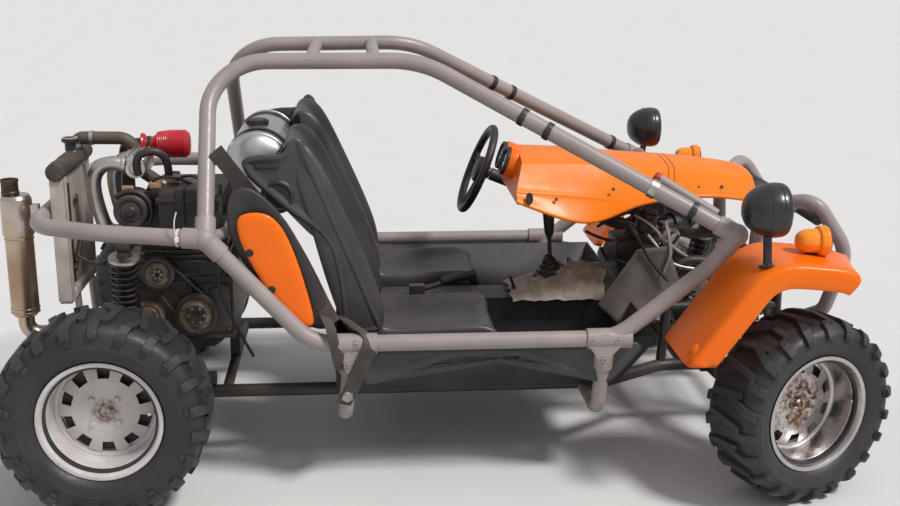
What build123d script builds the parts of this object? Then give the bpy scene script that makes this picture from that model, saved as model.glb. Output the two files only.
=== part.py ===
from build123d import *
import os
from math import atan2, cos, hypot, radians, sin

# A two-seat dune buggy: bent tube cage, rear engine, open cabin and knobbly tyres.
# It is drawn in millimetres, X from the rear axle forward, Y to its left and Z up from a
# datum above the ground, and saved on the ground with its middle at the origin. All that
# lies ahead of the seats is placed from the front axle, so the wheelbase sets the cabin.
REAR_AXLE_X = -964.8
WHEELBASE = 1950.0

# Wheels and axles
REAR_AXLE_Z = 276.0
FRONT_AXLE_Z = 255.0
TYRE_R = 296.0
GROUND_Z = REAR_AXLE_Z - TYRE_R
FRONT_TYRE_R = FRONT_AXLE_Z - GROUND_Z
REAR_TYRE_W = 212.0
FRONT_TYRE_W = 200.0
LUG_PAIRS = 11
LUG_H = 13.0
LUG_T = 25.0
LUG_SKEW = 24.0
RIM_FLANGE_R = 170.0
RIM_BARREL_R = 146.0
RIM_W = 170.0
RIM_WALL = 4.0
RIM_DISC_DEPTH = 107.0
RIM_DISC_T = 6.0
VENT_COUNT = 10
VENT_MID_R = 112.0
LUG_COUNT = 4
LUG_PCD = 100.0
HUB_R = 38.0
REAR_RIM_Y = 740.0
KINGPIN_Y = 602.0
KINGPIN_TO_RIM = 175.0
STEER_REST = 21.0
SEAT_GAP = 0.3

# Frame tubes
TUBE_R = 24.0
SLEEVE_R = 29.0
SLEEVE_L = 62.0
LOWER_TUBE_R = 20.0
BRACE_R = 16.0

# Cage and side loop, one side, as (x, y, z) with y outboard
HOOP_NODE = (292.0, 602.0, 754.0)
HOOP_CORNER = (285.0, 268.0, 1207.0)
ROOF_CORNER = (905.0, 302.0, 1210.0)
FRONT_NODE = (WHEELBASE - 164, 620.0, 748.0)
HOOP_BEND = 165.0
ROOF_BEND = 320.0
RAIL_Z = 441.0
RAIL_BACK_X = 580.0
RAIL_FRONT_X = WHEELBASE - 498
KNEE = (WHEELBASE - 234, 608.0, 650.0)
LOOP_BEND = 160.0
ROOF_BAR_XS = (582.0, 768.0)

# Rear frame
REAR_TUBE_MID = (0.0, 566.0, 766.0)
REAR_CORNER = (-204.0, 470.0, 768.0)

# Lower frame
LOWER_Z = 200.0
LOWER_Y = 330.0
LOWER_BACK_X = -150.0
LOWER_FRONT_X = WHEELBASE - 250
NOSE_FRAME_Y = 190.0
NOSE_FRAME_X = WHEELBASE + 140
NOSE_FRAME_BACK_X = WHEELBASE - 230
NOSE_FRAME_TOP_Z = 560.0

# Cabin tub
TUB_BACK_X = 640.0
TUB_FRONT_X = WHEELBASE - 358
TUB_FRONT_RAKE = 85.0
FRONT_CROSS_X = WHEELBASE - 532
TUB_WALL = 5.0
TUB_Z = LOWER_Z + LOWER_TUBE_R + SEAT_GAP
TUB_LIP_Z = 425.0
TUB_FLOOR_Y = 400.0
TUB_LIP_Y = 560.0
TUNNEL_Y = 95.0
TUNNEL_Z = 400.0
TUNNEL_TOP = TUNNEL_Z + TUB_WALL

# Seats
SEAT_Y = 295.0
SEAT_W = 360.0
BELT_W = 46.0
BELT_T = 3.0

# Nose
NOSE_WALL = 5.0

# Steering
WHEEL_CENTRE = (WHEELBASE - 813, 300.0, 768.0)
WHEEL_D = 330.0
WHEEL_GRIP_R = 14.0
COLUMN_TILT = 22.0
RACK_X = WHEELBASE - 120
RACK_Z = 262.0
RACK_R = 22.0
RACK_BAR_R = 11.0
RACK_BALL_R = 13.0
TIE_INNER_Y = 250.0
HOUSING_HALF = 150.0
ARM_BACK = 110.0
ARM_IN = 55.0
RACK_SHIFT = -ARM_BACK * radians(STEER_REST)
FINAL_DRIVE_HALF = 296.0
FINAL_DRIVE_R = 72.0
BALL_JOINT_H = 114.0
BALL_JOINT_L = 30.0
DAMPER_FOOT = (-455.0, 166.0)
COIL_WIRE = 9.0
COIL_PITCH = 30.0

# Exhaust, cooling and fuel
MUFFLER_R = 41.0
MUFFLER_GAP = 25.0
OUTLET_R = 24.0
EXHAUST_TOP = 868.0
MUFFLER_AT = (REAR_CORNER[0] - TUBE_R - MUFFLER_R - MUFFLER_GAP, -300.0)
TANK_R = 98.0
TANK_L = 560.0
TANK_AT = (412.0, 0.0, 893.0)
CRADLE_X = 345.0
CRADLE_Y = 170.0
CRADLE_Z = 754.0

nodes = {}


def rightward(point):
    """Turn a point with y outboard into one on the vehicle's right side."""
    return (point[0], -point[1], point[2])


def left_copy(shape):
    """Mirror a right-hand piece to the vehicle's left."""
    return mirror(shape, about=Plane.XZ)


def bent_tube(points, bends, radius):
    """Sweep a round bar along straight runs joined by arcs."""
    path = FilletPolyline(*points, radius=bends) if bends else Polyline(*points)
    return sweep(Plane(origin=path @ 0, z_dir=path % 0) * Circle(radius), path=path)


def bar(start, end, radius):
    """Make a straight round bar between two points."""
    start, end = Vector(*start), Vector(*end)
    along = end - start
    middle = Plane(origin=start, z_dir=along)
    return extrude(middle * Circle(radius), amount=along.length)


def towards(start, end, distance):
    """Give the point at a distance from start on the way to end."""
    start, end = Vector(*start), Vector(*end)
    point = start + (end - start).normalized() * distance
    return (point.X, point.Y, point.Z)


def prism(outline, low_y, high_y):
    """Extrude a side outline of (x, z) points across the vehicle."""
    face = Plane.XZ * make_face(Polyline(*outline, close=True))
    return Pos(0, high_y, 0) * extrude(face, amount=high_y - low_y)


def offset_line(points, distance):
    """Move an open line of (x, z) points sideways, to the left of its direction."""
    normals = []
    for (x0, z0), (x1, z1) in zip(points, points[1:]):
        length = hypot(x1 - x0, z1 - z0)
        normals.append((-(z1 - z0) / length, (x1 - x0) / length))
    moved = []
    for index, (x, z) in enumerate(points):
        a, b = normals[max(index - 1, 0)], normals[min(index, len(normals) - 1)]
        share = distance / (1 + a[0] * b[0] + a[1] * b[1])
        moved.append((x + (a[0] + b[0]) * share, z + (a[1] + b[1]) * share))
    return moved


def band(points, gap, thickness, low_y, high_y):
    """Lay a strap along a line of (x, z) points, a gap away on its left."""
    inner, outer = offset_line(points, gap), offset_line(points, gap + thickness)
    return prism(inner + outer[::-1], low_y, high_y)


def ring(outline):
    """Revolve an outline of (radius, y) points about the Y axis."""
    face = Plane.XY * make_face(Polyline(*outline, close=True))
    return revolve(face, axis=Axis.Y)


def block(low, high):
    """Make a box between two corners."""
    size = [b - a for a, b in zip(low, high)]
    middle = [(a + b) / 2 for a, b in zip(low, high)]
    return Pos(*middle) * Box(*size)


# Wheels, drawn about the Y axis with the outer side at -Y and the rim's outer plane at y = 0
def make_tyre(tip_r, width):
    """Make a square-shouldered tyre with angled bar lugs and shoulder blocks."""
    bulge, bead, tread_r = (width - RIM_W) / 2, 0.3, tip_r - LUG_H
    half = [(RIM_FLANGE_R + bead, 6), (RIM_FLANGE_R + 30, -bulge + 4), (tread_r - 34, -bulge),
            (tread_r - 12, -bulge + 8), (tread_r, 20)]
    casing = ring(half + [(r, RIM_W - y) for r, y in half[::-1]])
    middle, shoulder, top = RIM_W / 2, -bulge + 12, tip_r - 1.5
    lugs = []
    for index in range(LUG_PAIRS):
        for side in (-1, 1):
            turn = (index + side / 4) * 360 / LUG_PAIRS
            reach = middle - shoulder
            bar_lug = Pos(0, middle + side * reach * 0.5, top - LUG_H / 2) * Rot(
                0, 0, side * LUG_SKEW) * Box(LUG_T, reach * 0.86, LUG_H)
            hook = Pos(LUG_T * 0.62, middle + side * (reach - 13), top - 17) * Box(
                LUG_T * 1.2, 26, 30)
            block_lug = Pos(0, middle + side * (reach - 20), top - 15) * Box(LUG_T, 40, 30)
            lugs.append(Rot(0, turn, 0) * bar_lug)
            lugs.append(Rot(0, turn, 0) * hook)
            lugs.append(Rot(0, turn + 180 / LUG_PAIRS, 0) * block_lug)
    return casing + lugs


def make_rim():
    """Make a steel rim with a deep stepped dish and a vented disc."""
    step = RIM_BARREL_R + 10
    inner = [
        (RIM_FLANGE_R, 0), (RIM_FLANGE_R, 6), (step, 14), (step, 44), (RIM_BARREL_R, 60),
        (RIM_BARREL_R, RIM_W - 50), (step, RIM_W - 34), (step, RIM_W - 14),
        (RIM_FLANGE_R, RIM_W - 6), (RIM_FLANGE_R, RIM_W),
    ]
    outer = [(r - RIM_WALL if r < RIM_FLANGE_R else r - RIM_WALL * 2, y) for r, y in inner]
    barrel = ring(inner + outer[::-1])
    low, high = RIM_DISC_DEPTH - RIM_DISC_T, RIM_DISC_DEPTH
    edge = RIM_BARREL_R - RIM_WALL / 2
    disc = ring([
        (0, low), (70, low), (84, low - 12), (128, low - 12), (edge, low + 8),
        (edge, high + 8), (128, high - 12), (84, high - 12), (70, high), (0, high),
    ])
    vent = Pos(0, RIM_DISC_DEPTH, 0) * Rot(90, 0, 0) * extrude(
        make_face(Polyline((-9, VENT_MID_R - 12), (9, VENT_MID_R - 12), (14, VENT_MID_R + 12),
                           (-14, VENT_MID_R + 12), close=True)), amount=60)
    for index in range(VENT_COUNT):
        disc -= Rot(0, index * 360 / VENT_COUNT, 0) * vent
    bolt = Pos(0, low, LUG_PCD / 2) * Rot(90, 0, 0) * extrude(RegularPolygon(11, 6), amount=14)
    for index in range(LUG_COUNT):
        disc += Rot(0, 22 + index * 360 / LUG_COUNT, 0) * bolt
    hub = ring([(0, low), (HUB_R, low), (HUB_R, low - 26), (26, low - 32), (26, low - 44),
                (0, low - 44)])
    return barrel + disc + hub


def make_half_shaft(length):
    """Make the shaft that runs inboard from the wheel's disc."""
    flange = 52
    start = RIM_DISC_DEPTH
    return ring([(0, start), (flange, start), (flange, start + 12), (20, start + 16),
                 (20, start + length), (0, start + length)])


rim = make_rim()
rear_tyre = make_tyre(TYRE_R, REAR_TYRE_W)
front_tyre = make_tyre(FRONT_TYRE_R, FRONT_TYRE_W)
REAR_SHAFT_L = REAR_RIM_Y - RIM_DISC_DEPTH - FINAL_DRIVE_HALF - SEAT_GAP
rear_wheel = Pos(0, -REAR_RIM_Y, REAR_AXLE_Z)
rear_rim = rim + make_half_shaft(REAR_SHAFT_L)
front_rim = rim + make_half_shaft(34)
front_wheel = (Pos(WHEELBASE, -KINGPIN_Y, FRONT_AXLE_Z) * Rot(0, 0, STEER_REST)
               * Pos(0, -KINGPIN_TO_RIM, 0))
front_wheel_left = (Pos(WHEELBASE, KINGPIN_Y, FRONT_AXLE_Z) * Rot(0, 0, STEER_REST)
                    * Pos(0, KINGPIN_TO_RIM, 0))
nodes["tyre_rear_right"] = rear_wheel * rear_tyre
nodes["rim_rear_right"] = rear_wheel * rear_rim
nodes["tyre_rear_left"] = left_copy(rear_wheel * rear_tyre)
nodes["rim_rear_left"] = left_copy(rear_wheel * rear_rim)
nodes["tyre_front_right"] = front_wheel * front_tyre
nodes["rim_front_right"] = front_wheel * front_rim
nodes["tyre_front_left"] = front_wheel_left * left_copy(front_tyre)
nodes["rim_front_left"] = front_wheel_left * left_copy(front_rim)


# Cage: one bent tube a side from the hoop's foot over the roof to the front node
cage_points = [rightward(p) for p in (HOOP_NODE, HOOP_CORNER, ROOF_CORNER, FRONT_NODE)]
cage_points[0] = towards(cage_points[0], cage_points[1], SLEEVE_L)
cage_points[3] = towards(cage_points[3], cage_points[2], SLEEVE_L)
cage = bent_tube(cage_points, [HOOP_BEND, ROOF_BEND], TUBE_R)
nodes["cage_right"], nodes["cage_left"] = cage, left_copy(cage)


def roof_y(x):
    """Give the roof rail's distance from the middle at a station."""
    share = (x - HOOP_CORNER[0]) / (ROOF_CORNER[0] - HOOP_CORNER[0])
    return HOOP_CORNER[1] + share * (ROOF_CORNER[1] - HOOP_CORNER[1])


def roof_z(x):
    """Give the roof rail's height at a station."""
    share = (x - HOOP_CORNER[0]) / (ROOF_CORNER[0] - HOOP_CORNER[0])
    return HOOP_CORNER[2] + share * (ROOF_CORNER[2] - HOOP_CORNER[2])


cross_bars = [bar((x, -roof_y(x), roof_z(x)), (x, roof_y(x), roof_z(x)), TUBE_R - 4)
              for x in ROOF_BAR_XS]
nodes["roof_bars"] = Part() + cross_bars - cage - left_copy(cage)

# Side loop: from the hoop's foot down, along the sill and up to the front node
sill_back = (RAIL_BACK_X, 604.0, RAIL_Z)
sill_front = (RAIL_FRONT_X, 604.0, RAIL_Z)
loop_points = [rightward(p) for p in (HOOP_NODE, sill_back, sill_front, KNEE, FRONT_NODE)]
loop = bent_tube(loop_points, [LOOP_BEND] * 3, TUBE_R)
rear_run = [rightward(p) for p in (HOOP_NODE, REAR_TUBE_MID)]
dash_end = (WHEELBASE - 286, 170.0, 818.0)
for node, ends in (
    (loop_points[0], (cage_points[1], loop_points[1], rear_run[1])),
    (loop_points[4], (cage_points[2], loop_points[3], rightward(dash_end))),
):
    loop += Pos(*node) * Sphere(SLEEVE_R + 4)
    for end in ends:
        loop += bar(node, towards(node, end, SLEEVE_L), SLEEVE_R)

# Cast tee brackets on the sill, with the stems that run down to the lower frame
for x, foot_x, foot_y in ((690.0, 668.0, 548.0), (FRONT_CROSS_X + 7, FRONT_CROSS_X, 548.0)):
    top = (x, -604.0, RAIL_Z)
    foot = (foot_x, -foot_y, LOWER_Z - 4)
    loop += Pos(x + 8, -604, RAIL_Z) * Rot(0, 90, 0) * Cylinder(SLEEVE_R + 1, 130)
    loop += bar(top, towards(top, foot, 96), SLEEVE_R)
    loop += bent_tube([top, foot, (foot_x, -LOWER_Y, LOWER_Z - 4)], [60], TUBE_R - 2)
lower_right = bent_tube(
    [(LOWER_BACK_X, -LOWER_Y, LOWER_Z), (FRONT_CROSS_X + 62, -LOWER_Y, LOWER_Z),
     (LOWER_FRONT_X, -NOSE_FRAME_Y, LOWER_Z), (NOSE_FRAME_X, -NOSE_FRAME_Y, LOWER_Z)],
    [120, 120], LOWER_TUBE_R)
loop -= lower_right
nodes["side_loop_right"], nodes["side_loop_left"] = loop, left_copy(loop)

# Rear frame: a level hoop round the engine bay
rear_points = [towards(rear_run[0], rear_run[1], SLEEVE_L), rear_run[1], rightward(REAR_CORNER),
               REAR_CORNER, REAR_TUBE_MID]
rear_points.append(towards(HOOP_NODE, REAR_TUBE_MID, SLEEVE_L))
rear_frame = bent_tube(rear_points, [300, 110, 110, 300], TUBE_R)

# Cross tube behind the seats, with two saddles for the fuel tank
saddle_tube = [HOOP_NODE, (CRADLE_X, 520.0, CRADLE_Z)]
saddle_tube = [rightward(p) for p in saddle_tube] + saddle_tube[::-1]
rear_frame += bent_tube(saddle_tube, [60, 60], BRACE_R)
for y in (-CRADLE_Y, CRADLE_Y):
    rear_frame += prism([(CRADLE_X - 10, CRADLE_Z), (CRADLE_X + 60, CRADLE_Z), (CRADLE_X + 150, 830),
                         (CRADLE_X + 130, 840), (CRADLE_X - 30, 860)], y - 10, y + 10)
rear_frame -= Pos(*TANK_AT) * Rot(90, 0, 0) * Cylinder(TANK_R + SEAT_GAP, TANK_L)
nodes["rear_frame"] = rear_frame - loop - left_copy(loop)

# Lower frame: two long tubes with cross tubes between
lower = lower_right + left_copy(lower_right)
for x, half, radius in ((-140, LOWER_Y, BRACE_R), (300, LOWER_Y, BRACE_R), (668, LOWER_Y, BRACE_R),
                        (FRONT_CROSS_X, LOWER_Y, BRACE_R),
                        (RACK_X - 50, NOSE_FRAME_Y, BRACE_R),
                        (NOSE_FRAME_X - 10, NOSE_FRAME_Y, BRACE_R)):
    lower += bar((x, -half, LOWER_Z), (x, half, LOWER_Z), radius)
nodes["lower_frame"] = lower

# Nose frame: the uprights and top tubes that carry the wishbones, dampers, rack and nose
top_back = (NOSE_FRAME_BACK_X, -NOSE_FRAME_Y, NOSE_FRAME_TOP_Z)
post_x = NOSE_FRAME_X - 10
nose_frame = bent_tube([(LOWER_FRONT_X, -NOSE_FRAME_Y, LOWER_Z + 4), top_back,
                        (post_x - 5, -NOSE_FRAME_Y, NOSE_FRAME_TOP_Z - 20),
                        (post_x, -NOSE_FRAME_Y, LOWER_Z + 4)], [70, 70], BRACE_R)
nose_frame += bar((LOWER_FRONT_X + 8, -NOSE_FRAME_Y, 400), (post_x, -NOSE_FRAME_Y, 400), BRACE_R)
nose_frame += left_copy(nose_frame)
for x, z in ((NOSE_FRAME_BACK_X, NOSE_FRAME_TOP_Z - 40), (post_x - 4, NOSE_FRAME_TOP_Z - 60),
             (post_x, 380)):
    nose_frame += bar((x, -NOSE_FRAME_Y, z), (x, NOSE_FRAME_Y, z), BRACE_R)
nodes["nose_frame"] = nose_frame - lower

# Dash bar: from node to node, rising to pass inside the nose
dash_points = [towards(rightward(FRONT_NODE), rightward(dash_end), SLEEVE_L),
               rightward(dash_end), dash_end,
               towards(FRONT_NODE, dash_end, SLEEVE_L)]
nodes["dash_bar"] = bent_tube(dash_points, [80, 80], BRACE_R)

# Front guard: a bent tube a side ahead of the nose, turned back under it
# Columns: station ahead of the front axle, distance from the middle, height
GUARD_LINE = ((130, 190, 330), (234, 318, 420), (276, 365, 622), (164, 356, 788), (40, 224, 744),
              (40, 190, 560))
guard = bent_tube([(WHEELBASE + x, -y, z) for x, y, z in GUARD_LINE], [60, 130, 62, 40],
                  TUBE_R - 2)
guard -= nodes["nose_frame"]
guard_bar = bar((WHEELBASE + 174, -360, 726), (WHEELBASE + 174, 360, 726), BRACE_R + 2)
guard_bar = guard_bar - guard - left_copy(guard)
nodes["front_guard"] = guard + left_copy(guard)
nodes["nose_frame"] += guard_bar

# Cabin tub: a floor with raised sides, a front bulkhead and a centre tunnel
def tub_section(inset):
    """Draw the tub's cross section, smaller by an inset."""
    floor, lip = TUB_FLOOR_Y - inset, TUB_LIP_Y - inset
    low, tunnel, roof = TUB_Z + inset, TUNNEL_Y + inset, TUNNEL_Z + inset
    return [(-lip, TUB_LIP_Z + 1), (-floor, low), (-tunnel, low), (-tunnel + 25, roof),
            (tunnel - 25, roof), (tunnel, low), (floor, low), (lip, TUB_LIP_Z + 1)]


def tub_solid(inset, back, front):
    """Extrude the tub's section between two stations."""
    face = Plane.YZ * make_face(Polyline(*tub_section(inset), close=True))
    body = Pos(back, 0, 0) * extrude(face, amount=front - back)
    return body - prism([(front - TUB_FRONT_RAKE, TUB_Z), (front + 1, TUB_Z), (front + 1, TUB_LIP_Z + 2),
                         (front, TUB_LIP_Z + 2)], -TUB_LIP_Y - 1, TUB_LIP_Y + 1)


tub = tub_solid(0, TUB_BACK_X, TUB_FRONT_X)
tub -= tub_solid(TUB_WALL, TUB_BACK_X + TUB_WALL, TUB_FRONT_X - TUB_WALL)
nodes["floor_tub"] = tub

# Nose: a faceted shell from the dash to the rounded front
# Columns: station from the front axle, crease half width, crease height, middle height, lower
# half width and height
NOSE_SECTIONS = (
    (-744, 168, 878, 892, 256, 764),
    (-530, 152, 872, 886, 264, 697),
    (-350, 142, 856, 874, 264, 757),
    (-150, 130, 842, 860, 252, 775),
    (30, 108, 812, 830, 214, 778),
    (90, 80, 790, 804, 150, 776),
)


def nose_section(row, inset):
    """Draw one closed cross section of the nose."""
    x, crease_y, crease_z, top_z, low_y, low_z = row
    half, low = crease_y - inset / 2, low_y - inset
    points = [(-low, low_z), (-half, crease_z - inset), (0, top_z - inset),
              (half, crease_z - inset), (low, low_z)]
    return Plane.YZ.offset(WHEELBASE + x) * make_face(Polyline(*points, close=True))


nose = loft([nose_section(row, 0) for row in NOSE_SECTIONS], ruled=True)
inner_rows = [(row[0] - (8 if row is NOSE_SECTIONS[-1] else 0),) + row[1:]
              for row in NOSE_SECTIONS]
nose -= loft([nose_section(row, NOSE_WALL) for row in inner_rows], ruled=True)
nodes["nose"] = nose - nodes["dash_bar"]

# Instrument pods on the dash
DASH_T = 6.0
pods = extrude(nose_section(NOSE_SECTIONS[0], NOSE_WALL + SEAT_GAP), amount=DASH_T)
for y in (-45.0, 55.0):
    pods += Pos(WHEELBASE - 754, y, 826) * Rot(0, -75, 0) * Cylinder(44, 40)
pods -= nose
nodes["instruments"] = pods

# Front fenders: a faceted arch with a turned-down outer edge
# Columns: station and height of the arch's top face, both from the front axle
FENDER_ARCH = ((-388, 85), (-158, 402), (-112, 434), (-60, 447), (90, 433), (184, 401))
FENDER_LINE = [(WHEELBASE + x, FRONT_AXLE_Z + z) for x, z in FENDER_ARCH]
FENDER_IN, FENDER_OUT, FENDER_T, FENDER_LIP = 520.0, 800.0, 5.0, 34.0
FENDER_FOOT_Z = 398.0


def fender_z(x):
    """Give the height of the fender's top face at a station."""
    for (x0, z0), (x1, z1) in zip(FENDER_LINE, FENDER_LINE[1:]):
        if x <= x1:
            return z0 + (z1 - z0) * (x - x0) / (x1 - x0)
    return FENDER_LINE[-1][1]


fender_outer = prism([*FENDER_LINE] + [(x, z - FENDER_LIP) for x, z in FENDER_LINE[::-1]],
                     -FENDER_OUT, -FENDER_IN)
fender_inner = prism([(x, z - FENDER_T) for x, z in FENDER_LINE]
                     + [(x, z - FENDER_LIP - 20) for x, z in FENDER_LINE[::-1]],
                     -FENDER_OUT + FENDER_T, -FENDER_IN + 1)
fender = fender_outer - fender_inner
fender -= block((WHEELBASE - 550, -FENDER_OUT - 1, 200), (WHEELBASE - 250, -FENDER_IN + 1, FENDER_FOOT_Z))
fender -= extrude(Plane.XY.offset(500) * make_face(Polyline(
    (WHEELBASE + 106, -FENDER_OUT - 1), (WHEELBASE + 250, -FENDER_OUT - 1),
    (WHEELBASE + 250, -FENDER_IN + 1), (WHEELBASE + 180, -FENDER_IN + 1),
    close=True)), amount=300)
for frame_x, frame_z, arch_x in ((-150, -4, -120), (80, -14, 80)):
    stay_foot = (WHEELBASE + frame_x, -NOSE_FRAME_Y, NOSE_FRAME_TOP_Z + frame_z)
    arch_z = fender_z(WHEELBASE + arch_x) - 12
    fender += bar(stay_foot, (WHEELBASE + arch_x, -FENDER_IN - 4, arch_z), 9)
fender -= nose_frame
nodes["fender_right"], nodes["fender_left"] = fender, left_copy(fender)

# Headlamps on the fenders, and the orange marker lamps ahead of them
lamp_shell = revolve(Plane.XZ * make_face(Polyline(
    (-70, 0), (-62, 38), (-30, 66), (20, 77), (46, 77), (50, 70), (50, 0), close=True)),
    axis=Axis.X)
LAMP_X = WHEELBASE - 115
headlamp = Pos(LAMP_X, -721, 843) * lamp_shell
headlamp += bar((LAMP_X, -715, fender_z(LAMP_X)), (LAMP_X, -719, 780), 12)
headlamp -= fender
nodes["headlamps"] = headlamp + left_copy(headlamp)
marker_shell = revolve(Plane.XZ * make_face(Polyline(
    (-62, 0), (-56, 24), (-30, 34), (10, 34), (14, 42), (34, 42), (34, 0), close=True)),
    axis=Axis.X)
MARKER_X = WHEELBASE + 56
marker = Pos(MARKER_X, -660, 738) * marker_shell
marker += bar((MARKER_X - 20, -660, fender_z(MARKER_X - 20)), (MARKER_X - 20, -660, 730), 14)
marker -= fender
nodes["marker_lamps"] = marker + left_copy(marker)

# Seats: moulded buckets with a reclined back, drawn as a side outline
SEAT_OUTLINE = [(735, 345), (1115, 365), (1140, 405), (1110, 452), (800, 412), (535, 1004),
                (510, 1012), (485, 985), (725, 420)]
seat = prism(SEAT_OUTLINE, -SEAT_Y - SEAT_W / 2, -SEAT_Y + SEAT_W / 2)
hollow = prism([(1160, 480), (1100, 420), (790, 378), (768, 400), (473.8, 1060)],
               -SEAT_Y - SEAT_W / 2 + 45, -SEAT_Y + SEAT_W / 2 - 45)
seat -= hollow
half_w = SEAT_W / 2
front_view = [(-half_w, 300), (-half_w, 800), (-half_w + 34, 900), (-half_w + 78, 985),
              (-half_w + 96, 1020)]
front_view += [(-y, z) for y, z in front_view[::-1]]
front_view = [(y - SEAT_Y, z) for y, z in front_view]
seat &= Plane.YZ.offset(460) * extrude(make_face(Polyline(*front_view, close=True)), amount=720)
seat -= Pos(520, -SEAT_Y, 905) * Rot(0, 67, 0) * Box(34, 150, 260)
for y in (SEAT_Y - 90, SEAT_Y + 68):
    seat += block((760, -y - 18, TUB_Z + TUB_WALL), (1060, -y + 18, 356))
nodes["seat_right"], nodes["seat_left"] = seat, left_copy(seat)

# Side scoops and the dark panels round them, between the hoop's foot and the seat
PANEL_OUT = HOOP_NODE[1] - TUBE_R - SEAT_GAP
scoop = prism([(386, 825), (383, 740), (432, 632), (515, 505), (580, 488), (590, 510), (550, 668),
               (515, 772), (455, 825)], -PANEL_OUT - 22, -PANEL_OUT)
scoop -= loop
nodes["side_scoops"] = scoop + left_copy(scoop)
panel = prism([(340, 760), (352, 880), (420, 900), (520, 800), (640, 520), (640, 470), (560, 470),
               (400, 640)], -PANEL_OUT + SEAT_GAP, -PANEL_OUT + 30)
panel = panel - loop - nodes["rear_frame"]
nodes["side_panels"] = panel + left_copy(panel)

# Fuel tank across the cabin, behind the seats
half_tank = [(0, TANK_L / 2), (TANK_R - 34, TANK_L / 2 - 4), (TANK_R - 8, TANK_L / 2 - 20),
             (TANK_R, TANK_L / 2 - 42)]
tank = Pos(*TANK_AT) * ring(half_tank + [(r, -y) for r, y in half_tank[::-1]])
tank += Pos(TANK_AT[0] - 10, -60, TANK_AT[2] + TANK_R + 4) * Cylinder(34, 30)
nodes["fuel_tank"] = tank

# Engine, gearbox and what is bolted to them
engine = block((40, -300, 362), (330, 130, 560)) + block((70, -290, 560), (300, 120, 795))
for z in (600, 640, 680, 720):
    engine += block((58, -290, z), (312, 120, z + 12))
housing = Cylinder(46, 112) - Pos(0, 0, 46) * Cylinder(36, 20)
engine += Pos(50, -314, 780) * Rot(90, 0, 0) * housing
engine += block((284, -40, LOWER_Z), (316, 40, 362))
engine -= lower
nodes["engine"] = engine
gearbox = block((-60, 130 + SEAT_GAP, 300), (300, 240, 520))
gearbox += Pos(0, 0, REAR_AXLE_Z) * Rot(90, 0, 0) * Cylinder(FINAL_DRIVE_R, 2 * FINAL_DRIVE_HALF)
nodes["gearbox"] = gearbox

# Two bent runners from the head up and over to a plenum
RUNNER_R = 17.0
RUNNER_YS = (-246.0, -150.0)
runners = block((24, -276, 868), (84, -120, 926))
for y in RUNNER_YS:
    runners += bent_tube([(57.7, y, 690), (-40, y, 690), (-72, y, 830), (-36, y, 900), (30, y, 900)],
                         [36, 60, 44], RUNNER_R)
    runners += Pos(52, y, 690) * Rot(0, 90, 0) * Cylinder(RUNNER_R + 9, 11)
runners -= engine
nodes["intake_runners"] = runners

# Radiator: a core between side plates, with a round top tank, filler neck and legs
RADIATOR_AT = (-157.0, -180.0, 700.0)
RADIATOR_W, RADIATOR_H, RADIATOR_T = 360.0, 400.0, 34.0
TOP_TANK_R = 23.0
radiator = Box(RADIATOR_T - 10, RADIATOR_W, RADIATOR_H)
for end in (-1, 1):
    radiator += Pos(0, end * (RADIATOR_W / 2 - 5), 0) * Box(RADIATOR_T, 10, RADIATOR_H)
radiator += Pos(0, 0, 20 - RADIATOR_H / 2) * Box(RADIATOR_T, RADIATOR_W, 40)
radiator += Pos(0, 0, RADIATOR_H / 2) * Rot(90, 0, 0) * Cylinder(TOP_TANK_R, RADIATOR_W + 16)
radiator += Pos(0, 20, RADIATOR_H / 2 + 40) * Cylinder(15, 48)
radiator += Pos(0, 20, RADIATOR_H / 2 + 62) * Cylinder(23, 12)
radiator = Pos(*RADIATOR_AT) * radiator
for y in (-220, -20):
    radiator += bar((-140, y, LOWER_Z), (RADIATOR_AT[0], y, 510), 11)
radiator -= lower
nodes["radiator"] = radiator
hose = bent_tube([(RADIATOR_AT[0], -96, 910), (-150, -96, 956), (20, -112, 956), (40, -96, 850),
                  (110, -80, 795)], [24, 50, 40], 20)
hose -= radiator + engine
nodes["radiator_hose"] = hose

# Cone filter on an elbow from the back of the head
FILTER_AT = (36.0, -38.0, 924.0)
filter_profile = ((0, 0), (31, 0), (35, 6), (25, 14), (24, 38), (40, 58), (45, 104), (40, 136),
                  (24, 150), (0, 152))
air_filter = Pos(*FILTER_AT) * revolve(Plane.XZ * make_face(Polyline(
    *[(x, r) for r, x in filter_profile], close=True)), axis=Axis.X)
air_filter += bent_tube([(FILTER_AT[0] + 10, *FILTER_AT[1:]), (-20, FILTER_AT[1], 916),
                         (-20, FILTER_AT[1] + 40, 640), (75, FILTER_AT[1] + 40, 640)], [42, 40], 21)
air_filter -= engine + hose
nodes["air_filter"] = air_filter

# Belt drive on the engine's right face: crank and upper pulley with their belt
# Columns: x, z, radius, hub radius
PULLEYS = ((222.0, 455.0, 60.0, 34.0), (114.0, 585.0, 46.0, 22.0))
PULLEY_Y = -332.0
pulleys = Part()
for x, z, radius, hub_r in PULLEYS:
    pulleys += Pos(x, PULLEY_Y, z) * ring([
        (0, -18), (hub_r, -18), (hub_r, -8), (radius - 9, -8), (radius - 9, -16), (radius, -16),
        (radius - 8, 0), (radius, 16), (0, 16)])
    pulleys += bar((x, PULLEY_Y + 16, z), (x, -290 - SEAT_GAP, z), hub_r * 0.6)
(x0, z0, r0, _), (x1, z1, r1, _) = PULLEYS
lean = atan2(z1 - z0, x1 - x0)
for side in (-1, 1):
    across = lean + side * radians(90)
    run = [(x0 + cos(across) * (r0 - 5), z0 + sin(across) * (r0 - 5)),
           (x1 + cos(across) * (r1 - 5), z1 + sin(across) * (r1 - 5))]
    pulleys += bar((run[0][0], PULLEY_Y, run[0][1]), (run[1][0], PULLEY_Y, run[1][1]), 6)
pulleys -= engine
nodes["pulleys"] = pulleys
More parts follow.
